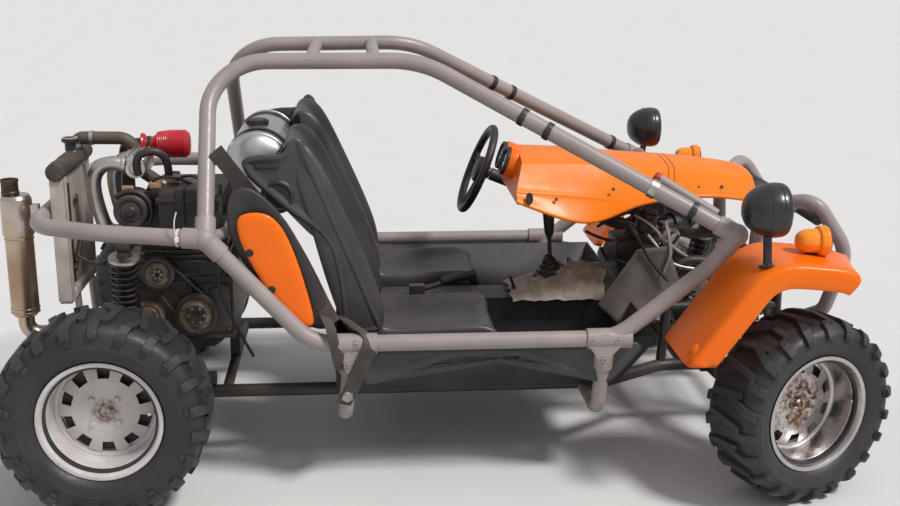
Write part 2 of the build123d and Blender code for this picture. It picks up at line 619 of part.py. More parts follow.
nodes["battery_box"] = block((134, -404, 712), (262, -290 - SEAT_GAP, 848))
muffler_profile = [(0, 450), (MUFFLER_R - 8, 450), (MUFFLER_R, 460), (MUFFLER_R, 700),
                   (MUFFLER_R + 3, 702), (MUFFLER_R + 3, 812), (MUFFLER_R - 2, 822), (0, 822)]
exhaust = Pos(*MUFFLER_AT) * revolve(Plane.XZ * make_face(Polyline(*muffler_profile, close=True)),
                                     axis=Axis.Z)
neck = Pos(MUFFLER_AT[0] - 14, MUFFLER_AT[1], 0)
exhaust += neck * Pos(0, 0, (820 + EXHAUST_TOP) / 2) * Cylinder(OUTLET_R, EXHAUST_TOP - 820)
exhaust -= neck * Pos(0, 0, EXHAUST_TOP) * Cylinder(OUTLET_R - 3, 80)
hanger_x = REAR_CORNER[0] - TUBE_R - SEAT_GAP
exhaust += block((MUFFLER_AT[0], MUFFLER_AT[1] - 14, 744), (hanger_x, MUFFLER_AT[1] + 14, 792))
exhaust += bent_tube([(*MUFFLER_AT, 460), (*MUFFLER_AT, 390), (20, -250, 380)], [40], OUTLET_R)
nodes["exhaust"] = exhaust - engine

# Steering wheel, column, rack and tie rods
column_dir = Vector(cos(radians(COLUMN_TILT)), 0, -sin(radians(COLUMN_TILT)))
wheel_plane = Plane(origin=WHEEL_CENTRE, z_dir=column_dir)
steering_wheel = wheel_plane * Torus(WHEEL_D / 2, WHEEL_GRIP_R)
steering_wheel += wheel_plane * Pos(0, 0, 30) * Cylinder(38, 40)
for angle in (0, 120, 240):
    spoke = Pos(WHEEL_D / 4, 0, 18) * Rot(0, 10, 0) * Box(WHEEL_D / 2 - 14, 30, 6)
    steering_wheel += wheel_plane * Rot(0, 0, angle) * spoke
nodes["steering_wheel"] = steering_wheel
column_foot = wheel_plane * Pos(0, 0, 50 + SEAT_GAP)
COLUMN_L = 560.0
column = column_foot * Cylinder(22, COLUMN_L, align=(Align.CENTER, Align.CENTER, Align.MIN))
joint = column_foot * Pos(0, 0, COLUMN_L - 6)
pinion_top = (RACK_X - 8, 60, RACK_Z + 70)
column += bar(tuple(joint.position), pinion_top, 11)
column += bar(pinion_top, (RACK_X, 60, RACK_Z), 20)
housing = Pos(RACK_X, 0, RACK_Z) * Rot(90, 0, 0) * Cylinder(RACK_R, 2 * HOUSING_HALF)
for y in (-120, 120):
    housing += bar((RACK_X - 50, y, LOWER_Z), (RACK_X, y, RACK_Z), 10)
column += housing
column += bar((WHEEL_CENTRE[0] + 470, 300, 576), (WHEELBASE - 310, 300, 800), 9)
column -= Pos(RACK_X, 0, RACK_Z) * Rot(90, 0, 0) * Cylinder(RACK_BAR_R + 0.05, 3 * HOUSING_HALF)
column -= lower
nodes["steering_column"] = column - nodes["dash_bar"]
rack_end = TIE_INNER_Y - RACK_BALL_R - SEAT_GAP
nodes["steering_rack"] = bar((RACK_X, RACK_SHIFT - rack_end, RACK_Z),
                             (RACK_X, RACK_SHIFT + rack_end, RACK_Z), RACK_BAR_R)

# Front knuckles: upright, stub axle and steering arm, turned with the wheel
def make_knuckle():
    """Make a right-hand knuckle about its kingpin at the wheel's centre height."""
    stub_end = KINGPIN_TO_RIM - RIM_DISC_DEPTH - 34 - SEAT_GAP
    height = 2 * BALL_JOINT_H - BALL_JOINT_L - 3 * SEAT_GAP
    knuckle = Box(46, 36, height) & Cylinder(23.5, height)
    knuckle += Pos(0, -stub_end / 2, 0) * Rot(90, 0, 0) * Cylinder(44, stub_end)
    eye = (-ARM_BACK, ARM_IN, RACK_Z - FRONT_AXLE_Z + 24)
    knuckle += bar((0, 0, eye[2]), eye, 10)
    knuckle += Pos(*eye) * Cylinder(14, 22)
    return knuckle


knuckle = make_knuckle()
turned = Pos(WHEELBASE, -KINGPIN_Y, FRONT_AXLE_Z) * Rot(0, 0, STEER_REST)
turned_left = Pos(WHEELBASE, KINGPIN_Y, FRONT_AXLE_Z) * Rot(0, 0, STEER_REST)
nodes["knuckle_right"] = turned * knuckle
nodes["knuckle_left"] = turned_left * left_copy(knuckle)


def arm_tip(side):
    """Give a steering arm's tip at rest, side -1 for the right and 1 for the left."""
    angle = radians(STEER_REST)
    x, y = -ARM_BACK, -side * ARM_IN
    return (WHEELBASE + x * cos(angle) - y * sin(angle),
            side * KINGPIN_Y + x * sin(angle) + y * cos(angle), RACK_Z)


for side, name in ((-1, "right"), (1, "left")):
    tip = arm_tip(side)
    inner = (RACK_X, side * TIE_INNER_Y + RACK_SHIFT, RACK_Z)
    rod = bar(inner, tip, 8)
    rod += Pos(*inner) * Sphere(RACK_BALL_R)
    rod += Pos(tip[0], tip[1], RACK_Z - 3) * Cylinder(13, 16)
    nodes["tie_rod_" + name] = rod

# Wishbones and spring dampers at the front
def wishbone(z, inner_y, inner_z, spread):
    """Make one A-arm from two frame pivots out to the ball joint."""
    ball = (WHEELBASE, -KINGPIN_Y + 4, z)
    arm = Part()
    for x in (WHEELBASE - spread, WHEELBASE + spread):
        pivot = (x, inner_y, inner_z)
        arm += bar(pivot, towards(ball, pivot, 10), 12)
        arm += Pos(*pivot) * Rot(0, 90, 0) * Cylinder(14, 50)
    return arm + Pos(*ball) * Cylinder(20, BALL_JOINT_L)


lower_pivot_y = -NOSE_FRAME_Y - LOWER_TUBE_R - 14 - SEAT_GAP
upper_pivot_y = -NOSE_FRAME_Y - BRACE_R - 14 - SEAT_GAP
front_arms = wishbone(FRONT_AXLE_Z - BALL_JOINT_H, lower_pivot_y, LOWER_Z, 100)
front_arms += wishbone(FRONT_AXLE_Z + BALL_JOINT_H, upper_pivot_y, 400, 80)
front_arms += bar((WHEELBASE - 38, *DAMPER_FOOT), (WHEELBASE + 38, *DAMPER_FOOT), 8)
nodes["front_arms"] = front_arms + left_copy(front_arms)


def damper(top, foot, coil_r):
    """Make a spring damper: a coil's ribbed outline on a rod with an eye at each end."""
    low, high = towards(foot, top, 54), towards(top, foot, 54)
    unit = bar(foot, top, 12) + bar(low, high, coil_r - COIL_WIRE)
    length = (Vector(*high) - Vector(*low)).length
    turns = int(length / COIL_PITCH)
    for index in range(turns + 1):
        centre = towards(low, high, 5 + index * (length - 10) / turns)
        end = towards(centre, high, COIL_WIRE) if index < turns else towards(centre, low, COIL_WIRE)
        unit += bar(centre, end, coil_r)
    return unit + Pos(*foot) * Rot(0, 90, 0) * Cylinder(18, 36) + Pos(*top) * Rot(0, 90, 0) * Cylinder(
        18, 36)


front_damper = damper((WHEELBASE, -228, 575), (WHEELBASE, *DAMPER_FOOT), 40) - front_arms - nose_frame
nodes["front_dampers"] = front_damper + left_copy(front_damper)

# Rear arms with the bearing carriers, and their dampers
carrier = Pos(0, -505, REAR_AXLE_Z) * Rot(90, 0, 0) * (Cylinder(64, 70) - Cylinder(24, 71))
rear_arm = carrier
for x in (240, -120):
    pivot = (x, -LOWER_Y, LOWER_Z + LOWER_TUBE_R + 22 + SEAT_GAP)
    rear_arm += bar(pivot, (x * 0.15, -480, REAR_AXLE_Z - 40), 18)
    rear_arm += Pos(*pivot) * Rot(0, 90, 0) * Cylinder(22, 60)
rear_arm -= Pos(0, -505, REAR_AXLE_Z) * Rot(90, 0, 0) * Cylinder(24, 200)
nodes["rear_arms"] = rear_arm + left_copy(rear_arm)
rear_damper = damper((50, -500, 712), (30, -430, 345), 42)
rear_damper += bar((50, -500, 712), (50, -566, 762), 12) + bar((30, -430, 345), (36, -470, 250), 12)
rear_damper = rear_damper - rear_arm - nodes["rear_frame"]
nodes["rear_dampers"] = rear_damper + left_copy(rear_damper)

# Hand controls, pedals and belts
GEAR_LEVER_X = WHEELBASE - 588
lever = bar((GEAR_LEVER_X, 0, TUNNEL_TOP + SEAT_GAP), (GEAR_LEVER_X - 18, 0, 700), 7)
lever += Pos(GEAR_LEVER_X - 18, 0, 690) * Cylinder(16, 50)
lever += Pos(GEAR_LEVER_X, 0, TUNNEL_TOP + SEAT_GAP + 10) * Cylinder(30, 20)
lever += block((880, -56, TUNNEL_TOP + SEAT_GAP), (930, -24, TUNNEL_TOP + 40))
lever += bar((905, -40, TUNNEL_TOP + 20), (1100, -40, 480), 9)
nodes["levers"] = lever
pedals = Part()
for y in (200.0, 290.0, 380.0):
    pedals += bar((TUB_FRONT_X - 124, y, TUB_Z + TUB_WALL + SEAT_GAP + 1.4),
                  (TUB_FRONT_X - 90, y, 372), 8)
    pedals += block((TUB_FRONT_X - 106, y - 26, 340), (TUB_FRONT_X - 94, y + 26, 410))
nodes["pedals"] = pedals
strap = band([(504.1, 940), (485, 985), (500.05, 1001.3), (678.9, 600)], SEAT_GAP, BELT_T,
             -SEAT_Y - BELT_W / 2, -SEAT_Y + BELT_W / 2)
nodes["belts"] = strap + left_copy(strap)

os.makedirs("parts", exist_ok=True)
for name, shape in nodes.items():
    export_step(Pos(REAR_AXLE_X, 0, -GROUND_Z) * shape, f"parts/{name}.step")
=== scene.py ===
import logging
import math
from contextlib import contextmanager
from dataclasses import dataclass, field
from enum import Enum
from functools import lru_cache
from typing import Callable, Iterator, Sequence

import bpy
from mathutils import Matrix, Vector


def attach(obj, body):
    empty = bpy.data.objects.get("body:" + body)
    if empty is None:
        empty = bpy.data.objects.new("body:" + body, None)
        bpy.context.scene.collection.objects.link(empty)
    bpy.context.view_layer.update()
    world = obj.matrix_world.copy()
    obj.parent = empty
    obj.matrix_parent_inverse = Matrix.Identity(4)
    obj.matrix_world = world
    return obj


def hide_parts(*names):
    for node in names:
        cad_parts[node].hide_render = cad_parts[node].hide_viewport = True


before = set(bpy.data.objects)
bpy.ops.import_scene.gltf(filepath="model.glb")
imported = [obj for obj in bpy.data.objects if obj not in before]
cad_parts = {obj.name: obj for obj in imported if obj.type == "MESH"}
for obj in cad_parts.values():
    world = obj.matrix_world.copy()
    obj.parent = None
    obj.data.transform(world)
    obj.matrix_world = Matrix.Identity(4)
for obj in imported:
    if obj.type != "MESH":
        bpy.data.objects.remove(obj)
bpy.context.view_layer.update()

log = logging.getLogger("buggy")

# The CAD is drawn in millimetres from the rear axle and saved this far back and up
REAR_AXLE_X = -964.8
GROUND_LIFT = 20
WHEELBASE = 1950
REAR_AXLE_Z = 276
FRONT_AXLE_Z = 255
KINGPIN_Y = 602
KINGPIN_TO_RIM = 175
STEER_REST = math.radians(21)
REAR_RIM_Y = 740
REAR_TYRE_R, REAR_TYRE_W = 296, 212
FRONT_TYRE_R, FRONT_TYRE_W = 275, 200
REAR_RUST, FRONT_RUST = 0.05, 0.12  # how far rust reaches from a hub, in metres
WEBBING_THICK = 2.4
MM = 0.001

Point = tuple[float, float, float]
Piece = bpy.types.Object
Socket = bpy.types.NodeSocket


def at(x: float, y: float, z: float) -> Vector:
    """Turn millimetres from the rear axle into metres in the CAD's frame."""
    return Vector(((x + REAR_AXLE_X) * MM, y * MM, (z + GROUND_LIFT) * MM))


def polar(radius: float, turn: float, level: float) -> Vector:
    """Turn a radius and a level in millimetres and an angle into a place about Z."""
    return Vector((radius * math.cos(turn), radius * math.sin(turn), level)) * MM


HOME = Matrix.Translation(at(0, 0, 0))
FORE, LEFT, UP = Vector((1, 0, 0)), Vector((0, 1, 0)), Vector((0, 0, 1))
OUT = Vector((0, -1, 0))


class Coat(Enum):
    """The kind of surface a finish stands for."""

    PAINT = "paint"
    PLASTIC = "plastic"
    BARE = "bare metal"
    SOFT = "rubber or cloth"


class Graph:
    """A material's node tree with short ways to add to it."""

    def __init__(self, name: str) -> None:
        """Start a material with an empty principled shader.

        Args:
            name: what the material is called
        """
        self.material = bpy.data.materials.new(name)
        self.material.use_nodes = True
        self.nodes = self.material.node_tree.nodes
        self.links = self.material.node_tree.links
        self.shader = self.nodes["Principled BSDF"]
        self.place = self.nodes.new("ShaderNodeTexCoord")
        self.normal: Socket | None = None
        self.colour: Socket | None = None
        self.rough: Socket | None = None

    def link(self, source: Socket, target: Socket) -> None:
        """Join two sockets."""
        self.links.new(source, target)

    def noise(self, scale: float, detail: float, stretch: Point | None = None) -> Socket:
        """Add noise on the object's own coordinates.

        Args:
            scale: waves a metre
            detail: octaves
            stretch: how much finer it is along each axis

        Returns:
            The factor socket.
        """
        node = self.nodes.new("ShaderNodeTexNoise")
        node.inputs["Scale"].default_value = scale
        node.inputs["Detail"].default_value = detail
        source = self.place.outputs["Object"]
        if stretch is not None:
            mapping = self.nodes.new("ShaderNodeMapping")
            mapping.inputs["Scale"].default_value = stretch
            self.link(source, mapping.inputs["Vector"])
            source = mapping.outputs["Vector"]
        self.link(source, node.inputs["Vector"])
        return node.outputs["Fac"]

    def spread(self, value: Socket, low: float, high: float,
               start: float = 0.3, end: float = 0.7) -> Socket:
        """Map a factor from start..end to low..high, clamped.

        Args:
            value: the factor
            low: the result at the start
            high: the result at the end
            start: the factor where it starts
            end: the factor where it ends

        Returns:
            The mapped socket.
        """
        node = self.nodes.new("ShaderNodeMapRange")
        node.inputs["From Min"].default_value = start
        node.inputs["From Max"].default_value = end
        node.inputs["To Min"].default_value = low
        node.inputs["To Max"].default_value = high
        self.link(value, node.inputs["Value"])
        return node.outputs["Result"]

    def mix(self, factor: Socket, first: Point, second: Point, start: float, end: float) -> Socket:
        """Blend two colours along a factor.

        Args:
            factor: the factor to blend along
            first: the colour up to the start
            second: the colour from the end on
            start: the factor where the blend starts
            end: the factor where it ends

        Returns:
            The colour socket.
        """
        ramp = self.nodes.new("ShaderNodeValToRGB")
        ramp.color_ramp.elements[0].position = start
        ramp.color_ramp.elements[0].color = (*first, 1)
        ramp.color_ramp.elements[1].position = end
        ramp.color_ramp.elements[1].color = (*second, 1)
        self.link(factor, ramp.inputs["Fac"])
        return ramp.outputs["Color"]

    def lay(self, factor: Socket, colour: Point, rough: float) -> None:
        """Lay a colour and a roughness over what the shader has.

        Args:
            factor: where it lies
            colour: the linear colour on top
            rough: the roughness on top
        """
        node = self.nodes.new("ShaderNodeMix")
        node.data_type = "RGBA"
        self.link(factor, node.inputs["Factor"])
        self.link(self.colour, node.inputs[6])
        node.inputs[7].default_value = (*colour, 1)
        self.colour = node.outputs[2]
        self.link(self.colour, self.shader.inputs["Base Color"])
        level = self.nodes.new("ShaderNodeMix")
        self.link(factor, level.inputs["Factor"])
        self.link(self.rough, level.inputs[2])
        level.inputs[3].default_value = rough
        self.rough = level.outputs[0]
        self.link(self.rough, self.shader.inputs["Roughness"])

    def math(self, operation: str, first: Socket, second: Socket | float = 0) -> Socket:
        """Add one arithmetic node.

        Args:
            operation: the node's operation
            first: the first value
            second: the second value, a socket or a number

        Returns:
            The value socket.
        """
        node = self.nodes.new("ShaderNodeMath")
        node.operation = operation
        self.link(first, node.inputs[0])
        if isinstance(second, (int, float)):
            node.inputs[1].default_value = second
        else:
            self.link(second, node.inputs[1])
        return node.outputs[0]

    def axis(self, letter: str) -> Socket:
        """Read one of the object's own coordinates.

        Args:
            letter: X, Y or Z

        Returns:
            The value socket.
        """
        split = self.nodes.new("ShaderNodeSeparateXYZ")
        self.link(self.place.outputs["Object"], split.inputs[0])
        return split.outputs[letter]

    def away(self, centre: Vector) -> Socket:
        """Measure the distance from a point in metres.

        Args:
            centre: the point

        Returns:
            The value socket.
        """
        node = self.nodes.new("ShaderNodeVectorMath")
        node.operation = "DISTANCE"
        self.link(self.place.outputs["Object"], node.inputs[0])
        node.inputs[1].default_value = centre
        return node.outputs["Value"]

    def dust_mask(self, amount: float) -> Socket:
        """Find where dust settles: thinly all over, more on what faces up.

        Args:
            amount: how much there is, from 0 to 1

        Returns:
            The mask socket.
        """
        split = self.nodes.new("ShaderNodeSeparateXYZ")
        self.link(self.place.outputs["Normal"], split.inputs[0])
        up = self.spread(split.outputs["Z"], 0.35, 1, -0.3, 0.9)
        cloud = self.spread(self.noise(9, 9), 0.25, 1, 0.36, 0.66)
        fine = self.spread(self.noise(160, 3), 0.6, 1, 0.4, 0.6)
        soft = self.math("MULTIPLY", self.math("MULTIPLY", up, cloud), fine)
        return self.math("MULTIPLY", soft, amount)

    def bump(self, height: Socket, millimetres: float) -> None:
        """Add bump on top of what the shader already has.

        Args:
            height: the height socket
            millimetres: how far the highest parts stand out
        """
        node = self.nodes.new("ShaderNodeBump")
        node.inputs["Strength"].default_value = 1
        node.inputs["Distance"].default_value = millimetres / 1000
        self.link(height, node.inputs["Height"])
        if self.normal is not None:
            self.link(self.normal, node.inputs["Normal"])
        self.normal = node.outputs["Normal"]
        self.link(self.normal, self.shader.inputs["Normal"])


# Linear colours that lie over a finish, each with its roughness
DUST = (0.42, 0.27, 0.17), 0.85
RUST = (0.20, 0.085, 0.035), 0.85
SPECKS = (0.16, 0.08, 0.045), 0.8
GROOVE = (0.30, 0.045, 0.004), 0.6
# painted shade: the dark colour of the gaps between radiator fins
FIN_GAP_SHADE = (0.05, 0.042, 0.035), 0.8
STRAW = (0.46, 0.31, 0.19), 0.36
BROWN = (0.30, 0.19, 0.13), 0.42
COAT_ROUGH = 0.12
ORANGE_SPECULAR = 0.28  # keeps the lit side of the shells from going pale


@dataclass(frozen=True)
class Finish:
    """A surface with colour that varies, grain, dust and wear.

    Args:
        name: what the material is called
        slot: the record's material slot it stands for
        coat: the kind of surface
        colour: the main linear colour
        second: the colour it drifts towards
        rough: the lowest and highest roughness
        patch: patches a metre in the slow colour drift
        grain: grains a metre in the fine bump
        bump: the height of the grain in millimetres
        dust: how much sand dust lies on it, from 0 to 1
        clear: the strength of a clear coat
        stretch: how much finer the grain is along each axis
    """

    name: str
    slot: str
    coat: Coat
    colour: Point
    second: Point
    rough: tuple[float, float] = (0.35, 0.6)
    patch: float = 9
    grain: float = 420
    bump: float = 0.06
    dust: float = 0.15
    clear: float = 0
    stretch: Point | None = None

    def graph(self) -> Graph:
        """Make the material's nodes.

        Returns:
            The graph, so that a finish can add more to it.
        """
        graph = Graph(self.name)
        shader = graph.shader
        shader.inputs["Metallic"].default_value = 1 if self.coat is Coat.BARE else 0
        shader.inputs["Coat Weight"].default_value = self.clear
        shader.inputs["Coat Roughness"].default_value = COAT_ROUGH
        if self.slot == "orange_body":
            shader.inputs["Specular IOR Level"].default_value = ORANGE_SPECULAR
        graph.colour = graph.mix(graph.noise(self.patch, 5), self.colour, self.second, 0.38, 0.66)
        graph.rough = graph.spread(graph.noise(self.patch * 14, 4), *self.rough)
        graph.link(graph.colour, shader.inputs["Base Color"])
        graph.link(graph.rough, shader.inputs["Roughness"])
        graph.bump(graph.noise(self.grain, 3, self.stretch), self.bump)
        if self.dust > 0:
            graph.lay(graph.dust_mask(self.dust), *DUST)
        return graph

    @lru_cache(maxsize=None)
    def material(self) -> bpy.types.Material:
        """Give the one material of this finish."""
        return self.graph().material


@dataclass(frozen=True)
class Rusty(Finish):
    """A finish whose rust spreads out from a hub.

    Args:
        centre: the hub's place in metres
        reach: how far the rust spreads, in metres
    """

    centre: Point = (0, 0, 0)
    reach: float = 0.1

    def graph(self) -> Graph:
        """Make the nodes, with rust and brown dust near the hub.

        Returns:
            The graph.
        """
        graph = super().graph()
        near = graph.spread(graph.away(Vector(self.centre)), 1, 0, self.reach * 0.45, self.reach)
        patch = graph.spread(graph.noise(60, 8), 0, 1, 0.42, 0.6)
        graph.lay(graph.math("MULTIPLY", near, patch), *RUST)
        speck = graph.spread(graph.noise(210, 6), 0, 0.8, 0.62, 0.72)
        graph.lay(speck, *SPECKS)
        return graph


@dataclass(frozen=True)
class Grooved(Finish):
    """A shell with two fine grooves across it, as where panels meet.

    Args:
        grooves: the stations of the grooves in metres along X
        bend: how far a groove leans back for each metre below the crease
        crease: the height in metres where it starts to lean
    """

    grooves: tuple[float, ...] = ()
    bend: float = 0.6
    crease: float = 0.86

    def graph(self) -> Graph:
        """Make the nodes, with the grooves dark.

        Returns:
            The graph.
        """
        graph = super().graph()
        below = graph.math("MINIMUM", graph.math("SUBTRACT", graph.axis("Z"), self.crease), 0)
        lean = graph.math("MULTIPLY", below, self.bend)
        along = graph.math("SUBTRACT", graph.axis("X"), lean)
        for station in self.grooves:
            gap = graph.math("ABSOLUTE", graph.math("SUBTRACT", along, station))
            mask = graph.spread(gap, 1, 0, 0.0012, 0.0028)
            graph.lay(mask, *GROOVE)
        return graph


@dataclass(frozen=True)
class Woven(Finish):
    """Webbing with ribs along its weave.

    Args:
        ribs: the scale of the wave that makes them
    """

    ribs: float = 150

    def graph(self) -> Graph:
        """Make the nodes, with a woven rib on the piece's own coordinates.

        Returns:
            The graph.
        """
        graph = super().graph()
        wave = graph.nodes.new("ShaderNodeTexWave")
        wave.inputs["Scale"].default_value = self.ribs
        wave.inputs["Distortion"].default_value = 0.6
        wave.bands_direction = "DIAGONAL"
        graph.link(graph.place.outputs["Object"], wave.inputs["Vector"])
        graph.bump(wave.outputs["Fac"], 0.35)
        return graph


@dataclass(frozen=True)
class Finned(Finish):
    """A radiator core with close fins across its face, with the gaps between them painted as dark
    lines of shade.

    Args:
        pitch: how far apart the dark lines are, in metres
    """

    pitch: float = 0.0084

    def graph(self) -> Graph:
        """Make the nodes, with fins as bright lines and painted shade as dark lines between them.

        Returns:
            The graph.
        """
        graph = super().graph()
        phase = graph.math("MULTIPLY", graph.axis("Z"), math.tau / self.pitch)
        wave = graph.spread(graph.math("SINE", phase), 0, 0.4, -0.2, 0.9)
        # the dark lines are painted shade between the fins
        graph.lay(wave, *FIN_GAP_SHADE)
        return graph


@dataclass(frozen=True)
class Tinted(Finish):
    """Bare metal tinted by heat along its height.

    Args:
        hot: the height in metres where the tint is strongest
    """

    hot: float = 0.5

    def graph(self) -> Graph:
        """Make the nodes, with straw, brown and a trace of violet.

        Returns:
            The graph.
        """
        graph = super().graph()
        away = graph.math("ABSOLUTE", graph.math("SUBTRACT", graph.axis("Z"), self.hot))
        cloud = graph.math("MULTIPLY", graph.noise(14, 5), 0.16)
        edge = graph.math("SUBTRACT", away, cloud)
        graph.lay(graph.spread(edge, 0.75, 0, 0, 0.12), *STRAW)
        graph.lay(graph.spread(edge, 0.45, 0, -0.06, 0.02), *BROWN)
        return graph


FRAME_PAINT = Finish(
    "taupe frame paint", "frame_paint", Coat.PAINT, (0.27, 0.232, 0.222), (0.315, 0.27, 0.255),
    (0.3, 0.42), 6, 900, 0.02, 0.08)
CAST_TEE = Finish(
    "cast tee paint", "frame_paint", Coat.PAINT, (0.27, 0.235, 0.225), (0.31, 0.265, 0.25),
    (0.38, 0.52), 12, 800, 0.08, 0.14)
BLACK_STEEL = Finish(
    "black chassis paint", "chassis_black", Coat.PAINT, (0.014, 0.013, 0.013),
    (0.026, 0.023, 0.021), (0.4, 0.62), 11, 600, 0.05, 0.12)
ORANGE = Finish(
    "glossy orange shell", "orange_body", Coat.PLASTIC, (0.86, 0.14, 0.001), (0.88, 0.165, 0.001),
    (0.3, 0.42), 4, 500, 0.03, 0, 0.1)
HOOD_ORANGE = Grooved(
    "orange nose shell", "orange_body", Coat.PLASTIC, (0.86, 0.18, 0.001), (0.90, 0.205, 0.001),
    (0.34, 0.44), 3, 500, 0.03, 0, 0.06, grooves=(0.745, 0.764), bend=0.45, crease=0.868)
LENS_ORANGE = Finish(
    "orange lamp lens", "orange_body", Coat.PLASTIC, (0.92, 0.24, 0.003), (0.96, 0.33, 0.01),
    (0.12, 0.2), 8, 600, 0.02, 0.05, 0.6)
LENS_RED = Finish(
    "dark red lens", "orange_body", Coat.PLASTIC, (0.30, 0.008, 0.006), (0.42, 0.02, 0.01),
    (0.12, 0.2), 8, 600, 0.02, 0.05, 0.5)
GREY_SHELL = Finish(
    "moulded grey shell", "black_plastic", Coat.PLASTIC, (0.016, 0.016, 0.018),
    (0.026, 0.025, 0.026), (0.4, 0.58), 8, 1400, 0.08, 0.08)
SEAT_SHELL = Finish(
    "dusty seat shell", "black_plastic", Coat.PLASTIC, (0.030, 0.030, 0.035), (0.046, 0.045, 0.049),
    (0.32, 0.5), 6, 1200, 0.10, 0.09)
BLACK_TRIM = Finish(
    "black trim", "black_plastic", Coat.PLASTIC, (0.010, 0.010, 0.011), (0.016, 0.015, 0.016),
    (0.36, 0.56), 14, 900, 0.05, 0.07)
BLACK_LAMP = Finish(
    "black lamp shell", "black_plastic", Coat.PLASTIC, (0.010, 0.011, 0.014), (0.016, 0.016, 0.019),
    (0.24, 0.38), 9, 1500, 0.05, 0.05, 0.15)
CASTING = Finish(
    "oily casting", "cast_grey", Coat.PAINT, (0.042, 0.038, 0.035), (0.012, 0.011, 0.011),
    (0.35, 0.65), 22, 500, 0.35, 0.14)
PALE_CASTING = Finish(
    "pale casting", "cast_grey", Coat.PAINT, (0.26, 0.18, 0.11), (0.06, 0.04, 0.03), (0.4, 0.7), 34,
    500, 0.35, 0.12)
RUNNERS = Finish(
    "satin cast runners", "cast_grey", Coat.BARE, (0.64, 0.61, 0.58), (0.54, 0.50, 0.47),
    (0.26, 0.4), 10, 800, 0.05, 0.05)
STEEL = Finish(
    "zinc steel", "tank_steel", Coat.BARE, (0.55, 0.53, 0.50), (0.36, 0.33, 0.30), (0.28, 0.5), 30,
    700, 0.06, 0.15)
DARK_STEEL = Finish(
    "oiled spring steel", "chassis_black", Coat.BARE, (0.10, 0.10, 0.105), (0.05, 0.047, 0.045),
    (0.3, 0.5), 30, 700, 0.06, 0.12)
RED_FILTER = Finish(
    "red filter", "filter_red", Coat.PLASTIC, (0.40, 0.005, 0.014), (0.56, 0.012, 0.03),
    (0.26, 0.45), 20, 800, 0.1, 0.06, 0.2)
# the finned radiator face carries painted shade as dark lines between its fins
RADIATOR = Finned(
    "dusty radiator with painted fin shade", "radiator_alloy", Coat.PAINT, (0.40, 0.335, 0.285), (0.31, 0.26, 0.215),
    (0.5, 0.75), 10, 500, 0.15, 0.35)
RADIATOR_EDGE = Finish(
    "radiator side plate", "radiator_alloy", Coat.PAINT, (0.50, 0.45, 0.41), (0.34, 0.29, 0.25),
    (0.4, 0.65), 14, 500, 0.12, 0.2)
HOSE = Finish(
    "grey hose", "hose_rubber", Coat.SOFT, (0.050, 0.041, 0.034), (0.085, 0.066, 0.052), (0.5, 0.7),
    15, 260, 0.35, 0.2)
MUFFLER = Tinted(
    "tinted muffler", "exhaust_steel", Coat.BARE, (0.62, 0.55, 0.49), (0.50, 0.42, 0.35),
    (0.2, 0.36), 9, 300, 0.04, 0.05, 0, (6, 6, 0.4), hot=0.60)
SOOT = Finish(
    "sooty outlet", "exhaust_steel", Coat.BARE, (0.16, 0.115, 0.085), (0.06, 0.045, 0.04),
    (0.4, 0.6), 20, 400, 0.08, 0.1)
TANK = Finish(
    "satin tank", "tank_steel", Coat.BARE, (0.66, 0.65, 0.66), (0.60, 0.585, 0.58), (0.3, 0.4), 2,
    700, 0.012, 0.04)
WEBBING = Woven(
    "black webbing", "belt_webbing", Coat.SOFT, (0.020, 0.019, 0.020), (0.040, 0.036, 0.034),
    (0.6, 0.8), 20, 1500, 0.15, 0.2)
RUBBER = Finish(
    "dusty tyre rubber", "tyre_black", Coat.SOFT, (0.020, 0.022, 0.027), (0.033, 0.034, 0.038),
    (0.42, 0.62), 12, 320, 0.2, 0.05)
# painted shade: the casing is a darker copy of the lug rubber, so the lugs stand out as if lit
SHADED_SIDEWALL = Finish(
    "tyre sidewall with painted shade", "tyre_black", Coat.SOFT, (0.014, 0.015, 0.019), (0.024, 0.025, 0.029),
    (0.42, 0.6), 7, 420, 0.12, 0.05)
CREAM = Finish(
    "dusty cream cover", "black_plastic", Coat.SOFT, (0.42, 0.37, 0.30), (0.24, 0.20, 0.155),
    (0.6, 0.8), 22, 160, 1.2, 0.3)
ROUGH_SLEEVE = Finish(
    "rough black sleeve", "hose_rubber", Coat.SOFT, (0.016, 0.015, 0.015), (0.05, 0.042, 0.036),
    (0.5, 0.75), 26, 180, 0.9, 0.15)
GREY_DUST = Finish(
    "dusty grey panel", "black_plastic", Coat.PLASTIC, (0.15, 0.13, 0.12), (0.09, 0.08, 0.075),
    (0.5, 0.7), 14, 500, 0.1, 0.3)
WHITE_TIE = Finish(
    "white nylon tie", "black_plastic", Coat.PLASTIC, (0.72, 0.70, 0.66), (0.62, 0.58, 0.52),
    (0.35, 0.5), 20, 600, 0.05, 0.1)
PALE_DIAL = Finish(
    "pale dial", "black_plastic", Coat.PLASTIC, (0.52, 0.42, 0.30), (0.42, 0.33, 0.23),
    (0.12, 0.22), 20, 600, 0.01, 0.05, 0.7)
DIAL = Finish(
    "dark dial glass", "black_plastic", Coat.PLASTIC, (0.010, 0.012, 0.016), (0.022, 0.022, 0.026),
    (0.08, 0.16), 12, 600, 0.01, 0.05, 0.8)
RED_WIRE = Finish(
    "red sleeve", "filter_red", Coat.PLASTIC, (0.36, 0.03, 0.02), (0.26, 0.03, 0.02), (0.35, 0.5),
    20, 600, 0.05, 0.1)
TAN = Finish(
    "brown connector", "cast_grey", Coat.PLASTIC, (0.40, 0.22, 0.11), (0.26, 0.15, 0.08),
    (0.4, 0.6), 30, 500, 0.1, 0.25)

